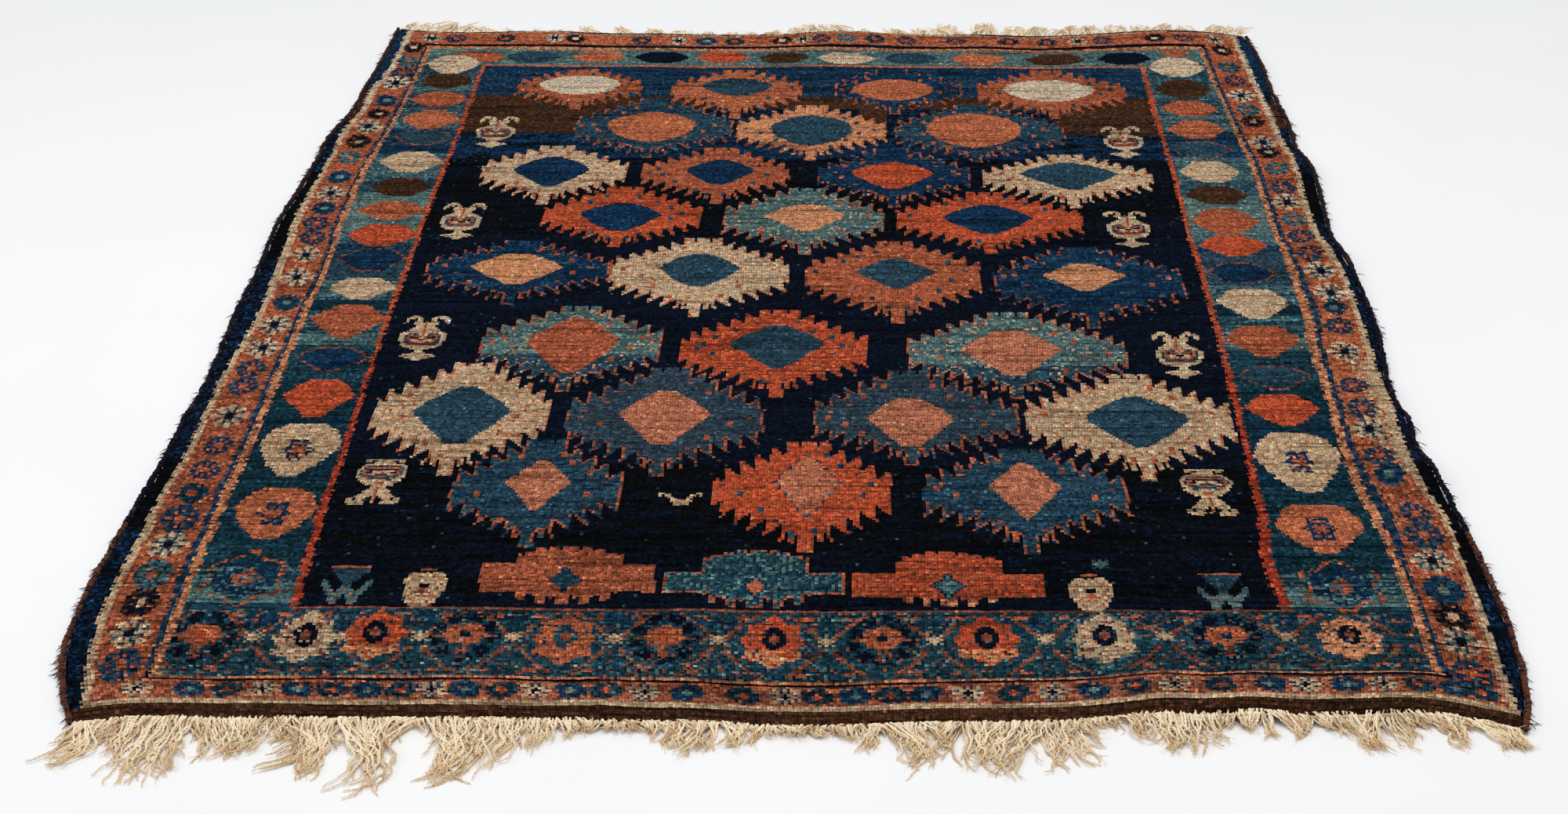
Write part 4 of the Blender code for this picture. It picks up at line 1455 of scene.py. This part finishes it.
def fringe_guides(end, table, yarns, points, seed, fullest):
    """Guide lines for the yarns of one end, with their tints."""
    draw = np.random.default_rng(seed)
    row = 0 if end < 0 else -1
    first, last = CORNER_X[row].min() + 2 * MM, CORNER_X[row].max() - 2 * MM
    root_x = np.sort(np.linspace(first, last, yarns) + draw.normal(0, 1.6, yarns) * MM)
    root_y, root_z = edge_line(end, root_x)
    lock = np.repeat(np.arange(yarns), draw.integers(7, 22, yarns))[:yarns]
    short = np.where(draw.random(yarns) < 0.4, draw.uniform(0.4, 0.85, yarns), 1.0)
    length = from_table(table, "length", root_x) * fullest
    length = length * draw.uniform(0.8, 1.1, yarns)[lock] * draw.uniform(0.9, 1.1, yarns) * short
    length = np.maximum(length, draw.uniform(7, 16, yarns) * MM)
    middle = np.array([root_x[lock == k].mean() for k in lock])
    cling = np.clip(draw.uniform(0.25, 0.9, yarns)[lock] + draw.normal(0, 0.12, yarns), 0, 1)
    sway = draw.normal(0, 0.2, yarns)[lock] + draw.normal(0, 0.10, yarns)
    bend = draw.normal(0, 0.22, yarns)[lock] + draw.normal(0, 0.16, yarns)
    lean = from_table(table, "lean", root_x) + sway * length
    share = np.linspace(0, 1, points)[None, :]
    far = length[:, None] * share
    phase = draw.uniform(0, 2 * np.pi, (yarns, 2))
    phase[:, 0] = 0.6 * phase[:, 0] + 0.4 * draw.uniform(0, 2 * np.pi, yarns)[lock]
    wave = 2 * np.pi / draw.uniform(0.016, 0.044, (yarns, 1))
    swing = draw.uniform(0.5, 2.4, (yarns, 1)) * MM * np.clip(far / 0.022, 0, 1.8)
    x = root_x[:, None] + lean[:, None] * share**1.3
    x = x + (bend * length)[:, None] * np.sin(np.pi * share) * share
    x = x + ((middle - root_x) * cling)[:, None] * share**1.2
    x = x + swing * np.sin(far * wave + phase[:, :1])
    y = root_y[:, None] + end * (far - 3.0 * MM) + swing * np.cos(far * wave * 0.8 + phase[:, 1:])
    layer = draw.uniform(0, 1, (yarns, 1)) ** 1.4 * np.clip(1.25 - far / 0.10, 0.12, 1)
    rest = 1.4 * MM + 5.5 * MM * layer
    start = root_z[:, None] + (1.6 + draw.uniform(0, 3.4, (yarns, 1))) * MM
    reach = draw.uniform(7, 20, (yarns, 1)) * MM
    fall = np.clip(1 - far / reach, 0, 1) ** 1.5
    hump = draw.uniform(0.2, 2.6, (yarns, 1)) * MM * np.sin(np.pi * np.clip(far / reach, 0, 1))
    z = np.maximum(rest * (1 - fall) + start * fall + hump, 1.3 * MM)
    lines = np.stack([x + SHIFT_X, y + SHIFT_Y, z], axis=-1)
    return lines, draw.uniform(0, 1, yarns)


YARNS_FRONT, YARNS_BACK, YARNS_UNDER = 1060, 560, 560
front_lines, front_tints = fringe_guides(-1, FRONT_FRINGE, YARNS_FRONT, 16, 21, 1.12)
back_lines, back_tints = fringe_guides(1, BACK_FRINGE, YARNS_BACK, 12, 22, 1.0)
under_lines, under_tints = fringe_guides(-1, FRONT_FRINGE, YARNS_UNDER, 8, 23, 0.5)
sizes = {"Ply Radius": 0.00084, "Lay": 0.0098, "Sides": 4, "Segment Length": 0.0043}
yarns_front = grow(
    "fringe_yarns_front", guide_lines("front_guides", front_lines, front_tints),
    plied, cotton, Curl=0.005, Seed=3, **sizes,
)
yarns_under = grow(
    "fringe_roots_front", guide_lines("under_guides", under_lines, under_tints),
    plied, cotton, Curl=0.004, Seed=5, **{**sizes, "Sides": 3},
)
yarns_back = grow(
    "fringe_yarns_back", guide_lines("back_guides", back_lines, back_tints),
    plied, cotton, Curl=0.005, Seed=8, **sizes,
)

# %% Fluff at the tips
def fluff_guides(lines, per_yarn, seed):
    """Fine hairs that leave each yarn before its tip, where the plies have come undone."""
    draw = np.random.default_rng(seed)
    picked = np.repeat(np.arange(len(lines)), per_yarn)
    start = draw.uniform(0.55, 0.95, len(picked)) * (lines.shape[1] - 1)
    low = start.astype(int)
    part = (start - low)[:, None]
    after = np.minimum(low + 1, lines.shape[1] - 1)
    root = lines[picked, low] * (1 - part) + lines[picked, after] * part
    way = lines[picked, -1] - lines[picked, -4]
    way /= np.linalg.norm(way, axis=1, keepdims=True) + 1e-9
    turn = draw.normal(0, 0.55, len(picked))
    spin = np.stack([
        way[:, 0] * np.cos(turn) - way[:, 1] * np.sin(turn),
        way[:, 0] * np.sin(turn) + way[:, 1] * np.cos(turn),
        draw.uniform(-0.1, 0.16, len(picked)),
    ], axis=-1)
    reach = draw.uniform(4, 15, (len(picked), 1)) * MM
    share = np.linspace(0, 1, 5)
    hairs = root[:, None] + spin[:, None] * (reach[:, None] * share[None, :, None])
    bow = draw.normal(0, 2.0, (len(picked), 1)) * MM * np.sin(np.pi * share)[None]
    hairs[..., 0] += bow
    hairs[..., 2] = np.maximum(hairs[..., 2], 0.7 * MM)
    return hairs, draw.uniform(0.3, 1, len(picked))


fluff = []
for name, lines, per_yarn, seed in (
    ("fluff_front", front_lines, 1, 31), ("fluff_back", back_lines, 1, 32),
):
    hairs, tints = fluff_guides(lines, per_yarn, seed)
    fluff.append(
        grow(
            name, guide_lines(name + "_guides", hairs, tints), plied, cotton,
            Sides=3, Curl=0.001, Seed=5, Lay=0.02, Tip=0.3,
            **{"Ply Radius": 0.00022, "Segment Length": 0.005},
        )
    )

# %% The woven web under the yarns
def web(name, end):
    """The narrow strip of plain weave between the last knots and the free yarns."""
    row = 0 if end < 0 else -1
    x = CORNER_X[row][1:-1:3]
    y, z = edge_line(end, x)
    outline = ((-3.0, 0.4), (-3.0, 2.2), (1.4, 1.7), (2.2, 1.1), (2.2, 0.4))
    rings = [
        np.stack([x + SHIFT_X, y + SHIFT_Y + end * out * MM, z + up * MM], axis=-1)
        for out, up in outline
    ]
    rings = np.stack(rings + rings[:1])
    colours = np.full((len(rings) - 1, len(x) - 1, 3), 0.5)
    return cloth(name, rings if end < 0 else rings[:, ::-1], colours, face_up=False)


webs = [web("web_front", -1), web("web_back", 1)]
for piece in webs:
    piece.data.materials.append(cotton)

# %% [markdown]
# ## The side cords
# The long edges are overcast: brown wool wrapped over and over a thick edge warp. The
# wraps are the visible part, so a tree sets one small ring after another along the
# edge line, each tilted and sized a little differently, over a plain core. Worn hairs
# stick out of them, as they do all down an old rug's sides.

# %% The tree that wraps a cord
overcast, takes, gives = new_tree("overcast_cord", {
    "Wrap Pitch": 0.0034, "Cord Radius": 0.0024, "Wool Radius": 0.0013,
    "Navy From": -0.6, "Seed": 2,
})
given = takes.outputs


def circle(sides, size):
    return step(
        overcast, "GeometryNodeCurvePrimitiveCircle", {"Resolution": sides, "Radius": given[size]}
    )


def vector_by_chance(low, high):
    """A random vector for each wrap."""
    return step(
        overcast, "FunctionNodeRandomValue",
        {"Min": low, "Max": high, "Seed": given["Seed"]}, data_type="FLOAT_VECTOR",
    )


path = step(overcast, "GeometryNodeMeshToCurve", {"Mesh": given["Guides"]})
stops = step(
    overcast, "GeometryNodeResampleCurve",
    {"Curve": path, "Length": given["Wrap Pitch"]}, mode="LENGTH",
)
loop, strand = circle(10, "Cord Radius"), circle(4, "Wool Radius")
wrap = step(overcast, "GeometryNodeCurveToMesh", {"Curve": loop, "Profile Curve": strand})
facing = step(overcast, "GeometryNodeInputTangent")
aim = step(overcast, "FunctionNodeAlignRotationToVector", {"Vector": facing}, axis="Z")
lean_by = vector_by_chance((-0.5, -0.5, 0.0), (0.5, 0.5, 6.28))
tilted = step(
    overcast, "FunctionNodeRotateRotation",
    {"Rotation": aim, "Rotate By": lean_by}, rotation_space="LOCAL",
)
plump = vector_by_chance((0.62, 0.62, 0.9), (1.2, 1.2, 1.7))
placed = step(
    overcast, "GeometryNodeInstanceOnPoints",
    {"Points": stops, "Instance": wrap, "Rotation": tilted, "Scale": plump},
)
shade_of = step(
    overcast, "FunctionNodeRandomValue", {"Seed": given["Seed"]}, data_type="FLOAT"
)
spot = step(overcast, "GeometryNodeInputPosition")
apart = step(overcast, "ShaderNodeSeparateXYZ", {"Vector": spot})
beyond = number(overcast, "GREATER_THAN", apart.outputs["Y"], given["Navy From"])
darker = number(overcast, "MULTIPLY_ADD", beyond, -1.5, shade_of.outputs[1])
marked = step(
    overcast, "GeometryNodeStoreNamedAttribute",
    {"Geometry": placed, "Name": "tint", "Value": darker},
    data_type="FLOAT", domain="INSTANCE",
)
finish_tree(overcast, marked, takes, gives)

# %% The cords and their hairs
CORD_HEIGHT = 4.6 * MM
CORE_RADIUS = 2.6 * MM


def cord_path(side):
    """The middle of a side cord, in frame metres."""
    column = 0 if side < 0 else -1
    x = CORNER_X[1:-1:4, column] + side * (JOINT_GAP + 0.34 * SELVAGE_WIDTH)
    frayed = np.random.default_rng(50 + side).normal(0, 0.7, len(x)) * MM
    up = CORNER_LIFT[1:-1:4, column] + CORD_HEIGHT + 0.4 * np.roll(frayed, 1)
    return np.stack([x + SHIFT_X + frayed, CORNER_Y[1:-1:4, column] + SHIFT_Y, up], axis=-1)


def cord_hairs(path, side, count, seed):
    """Loose hairs of worn wool that stand out of a side cord, thicker in places."""
    draw = np.random.default_rng(seed)
    at = draw.uniform(0, len(path) - 1.001, count)
    alone = draw.random(count) < 0.35
    at = np.where(alone, at, draw.choice(at[:60], count) + draw.normal(0, 0.35, count))
    at = np.clip(at, 0, len(path) - 1.001)
    low = at.astype(int)
    part = (at - low)[:, None]
    root = path[low] * (1 - part) + path[low + 1] * part
    angle = draw.normal(-0.5, 0.7, count)
    way = np.stack([side * np.cos(angle), np.sin(angle), draw.uniform(-0.5, 0.35, count)], axis=-1)
    reach = draw.gamma(2.0, 1.8, (count, 1)).clip(1, 11) * MM + 3 * MM
    share = np.linspace(0, 1, 5)
    hairs = root[:, None] + way[:, None] * (reach[:, None] * share[None, :, None])
    hairs[..., 1] += draw.normal(0, 2.5, (count, 1)) * MM * share[None] ** 2
    hairs[..., 2] -= 4 * MM * share[None] ** 2
    hairs[..., 2] = np.maximum(hairs[..., 2], 0.9 * MM)
    return hairs, draw.uniform(0, 0.9, count) - 1.5 * (root[:, 1] > -0.6)


side_cords, side_hairs = [], []
for name, side in (("left", -1), ("right", 1)):
    line = cord_path(side)
    side_cords.append(
        grow(
            "overcast_" + name, guide_lines(name + "_path", line[None], np.zeros(1)),
            overcast, brown_wool, Seed=4 + side,
        )
    )
    hairs, tints = cord_hairs(line, side, 760, 41 + side)
    side_hairs.append(
        grow(
            "cord_hairs_" + name, guide_lines(name + "_hairs", hairs, tints), plied, brown_wool,
            Sides=3, Curl=0.002, Seed=6, Lay=0.02, Tip=0.3,
            **{"Ply Radius": 0.00038, "Segment Length": 0.0045},
        )
    )

# %% The cores inside the wraps
def core(name, side):
    """A plain rounded core, so that no light shows between the wraps."""
    line = cord_path(side)
    angles = np.linspace(0, 2 * np.pi, 9)
    rings = np.stack([
        line + CORE_RADIUS * np.array([math.cos(a), 0.0, math.sin(a)]) for a in angles
    ])
    colours = np.full((8, len(line) - 1, 3), 0.03)
    made = cloth(name, rings, colours, face_up=False)
    made.data.materials.append(brown_wool)
    return made


cores = [core("edge_warp_left", -1), core("edge_warp_right", 1)]

# %% [markdown]
# ## What stands for what
# Each dressed piece takes a solid's place and rides on the rug's one body. The pile,
# its back and the webs are cloth.

# %% Tell the frame
for piece in (*pile_pieces, rug_back):
    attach(piece, "root")
    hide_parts("rug_pile")
for cords, hairs, inner, node in zip(
    side_cords, side_hairs, cores, ("selvage_left", "selvage_right")
):
    for piece in (cords, hairs, inner):
        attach(piece, "root")
        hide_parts(node)
for yarns, tips, strip, node in zip(
    ((yarns_front, yarns_under), (yarns_back,)), fluff, webs, ("fringe_front", "fringe_back")
):
    for piece in (*yarns, tips, strip):
        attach(piece, "root")
        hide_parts(node)

for piece, low, high, pieces_on_it in zip(
    pile_pieces, cuts, cuts[1:],
    (
        [yarns_front, yarns_under, fluff[0], webs[0]],
        [*side_cords, *side_hairs, *cores],
        [yarns_back, fluff[1], webs[1]],
    ),
):
    length = (min(high, ROWS + 1) - max(low, 1)) * KNOT_HEIGHT
    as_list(pieces_on_it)

# %% [markdown]
# ## Floor, light and camera
# The rug lies on a plain pale floor under soft light from a wide ceiling, so shadows
# are faint and the colours stay true. The camera's place was worked out from how the
# rug's long sides converge: chest height, three metres from the rug's middle.

# %% The floor
FLOOR_HALF = 14.0
floor_mesh = bpy.data.meshes.new("studio_floor")
corners = [(x * FLOOR_HALF, y * FLOOR_HALF, 0) for x, y in ((-1, -1), (1, -1), (1, 1), (-1, 1))]
floor_mesh.from_pydata(corners, [], [(0, 1, 2, 3)])
studio_floor = put("studio_floor", floor_mesh)
floor_paint, tree, shader = new_finish("floor_paint", (246, 246, 247), 0.6, 0.0)
place = step(tree, "ShaderNodeTexCoord").outputs["Object"]
tone = step(tree, "ShaderNodeValToRGB", {"Fac": noise(tree, place, 3.0, 6.0)})
tone.color_ramp.elements[0].color = (0.89, 0.89, 0.895, 1)
tone.color_ramp.elements[1].color = (0.95, 0.95, 0.95, 1)
tree.links.new(tone.outputs[0], shader.inputs["Base Color"])
floor_mesh.materials.append(floor_paint)

# %% The light
world = bpy.data.worlds.new("studio_air")
bpy.context.scene.world = world
world.use_nodes = True
air = world.node_tree.nodes["Background"].inputs
air["Color"].default_value = (0.97, 0.985, 1.0, 1)
air["Strength"].default_value = 0.56


def soft_light(name, place, size, watts):
    """A square area light that faces the frame's origin."""
    lamp = bpy.data.lights.new(name, "AREA")
    lamp.shape = "SQUARE"
    lamp.size = size
    lamp.energy = watts
    made = put(name, lamp)
    made.location = place
    towards = -np.array(place)
    flat = math.hypot(towards[0], towards[1])
    made.rotation_euler = (
        math.atan2(flat, -towards[2]), 0.0, math.atan2(-towards[0], towards[1]),
    )


soft_light("ceiling", (0.3, -0.3, 4.2), 3.0, 88)
soft_light("window", (-3.4, -1.0, 2.6), 2.4, 26)
bpy.context.scene.view_settings.view_transform = "Standard"

# %% The camera
CAMERA_LENS = 59.78
CAMERA_TILT = 27.37
CAMERA_TURN = 0.766
CAMERA_PLACE = (0.04264, -3.06617, 1.411)
camera_data = bpy.data.cameras.new("eye")
camera_data.sensor_width = 36.0
camera_data.lens = CAMERA_LENS
camera_data.shift_x = -0.02
camera = put("eye", camera_data)
camera.location = (CAMERA_PLACE[0] + SHIFT_X, CAMERA_PLACE[1] + SHIFT_Y, CAMERA_PLACE[2])
camera.rotation_euler = (math.radians(90 - CAMERA_TILT), 0.0, math.radians(CAMERA_TURN))
bpy.context.scene.camera = camera

# %% The end
bpy.context.view_layer.update()
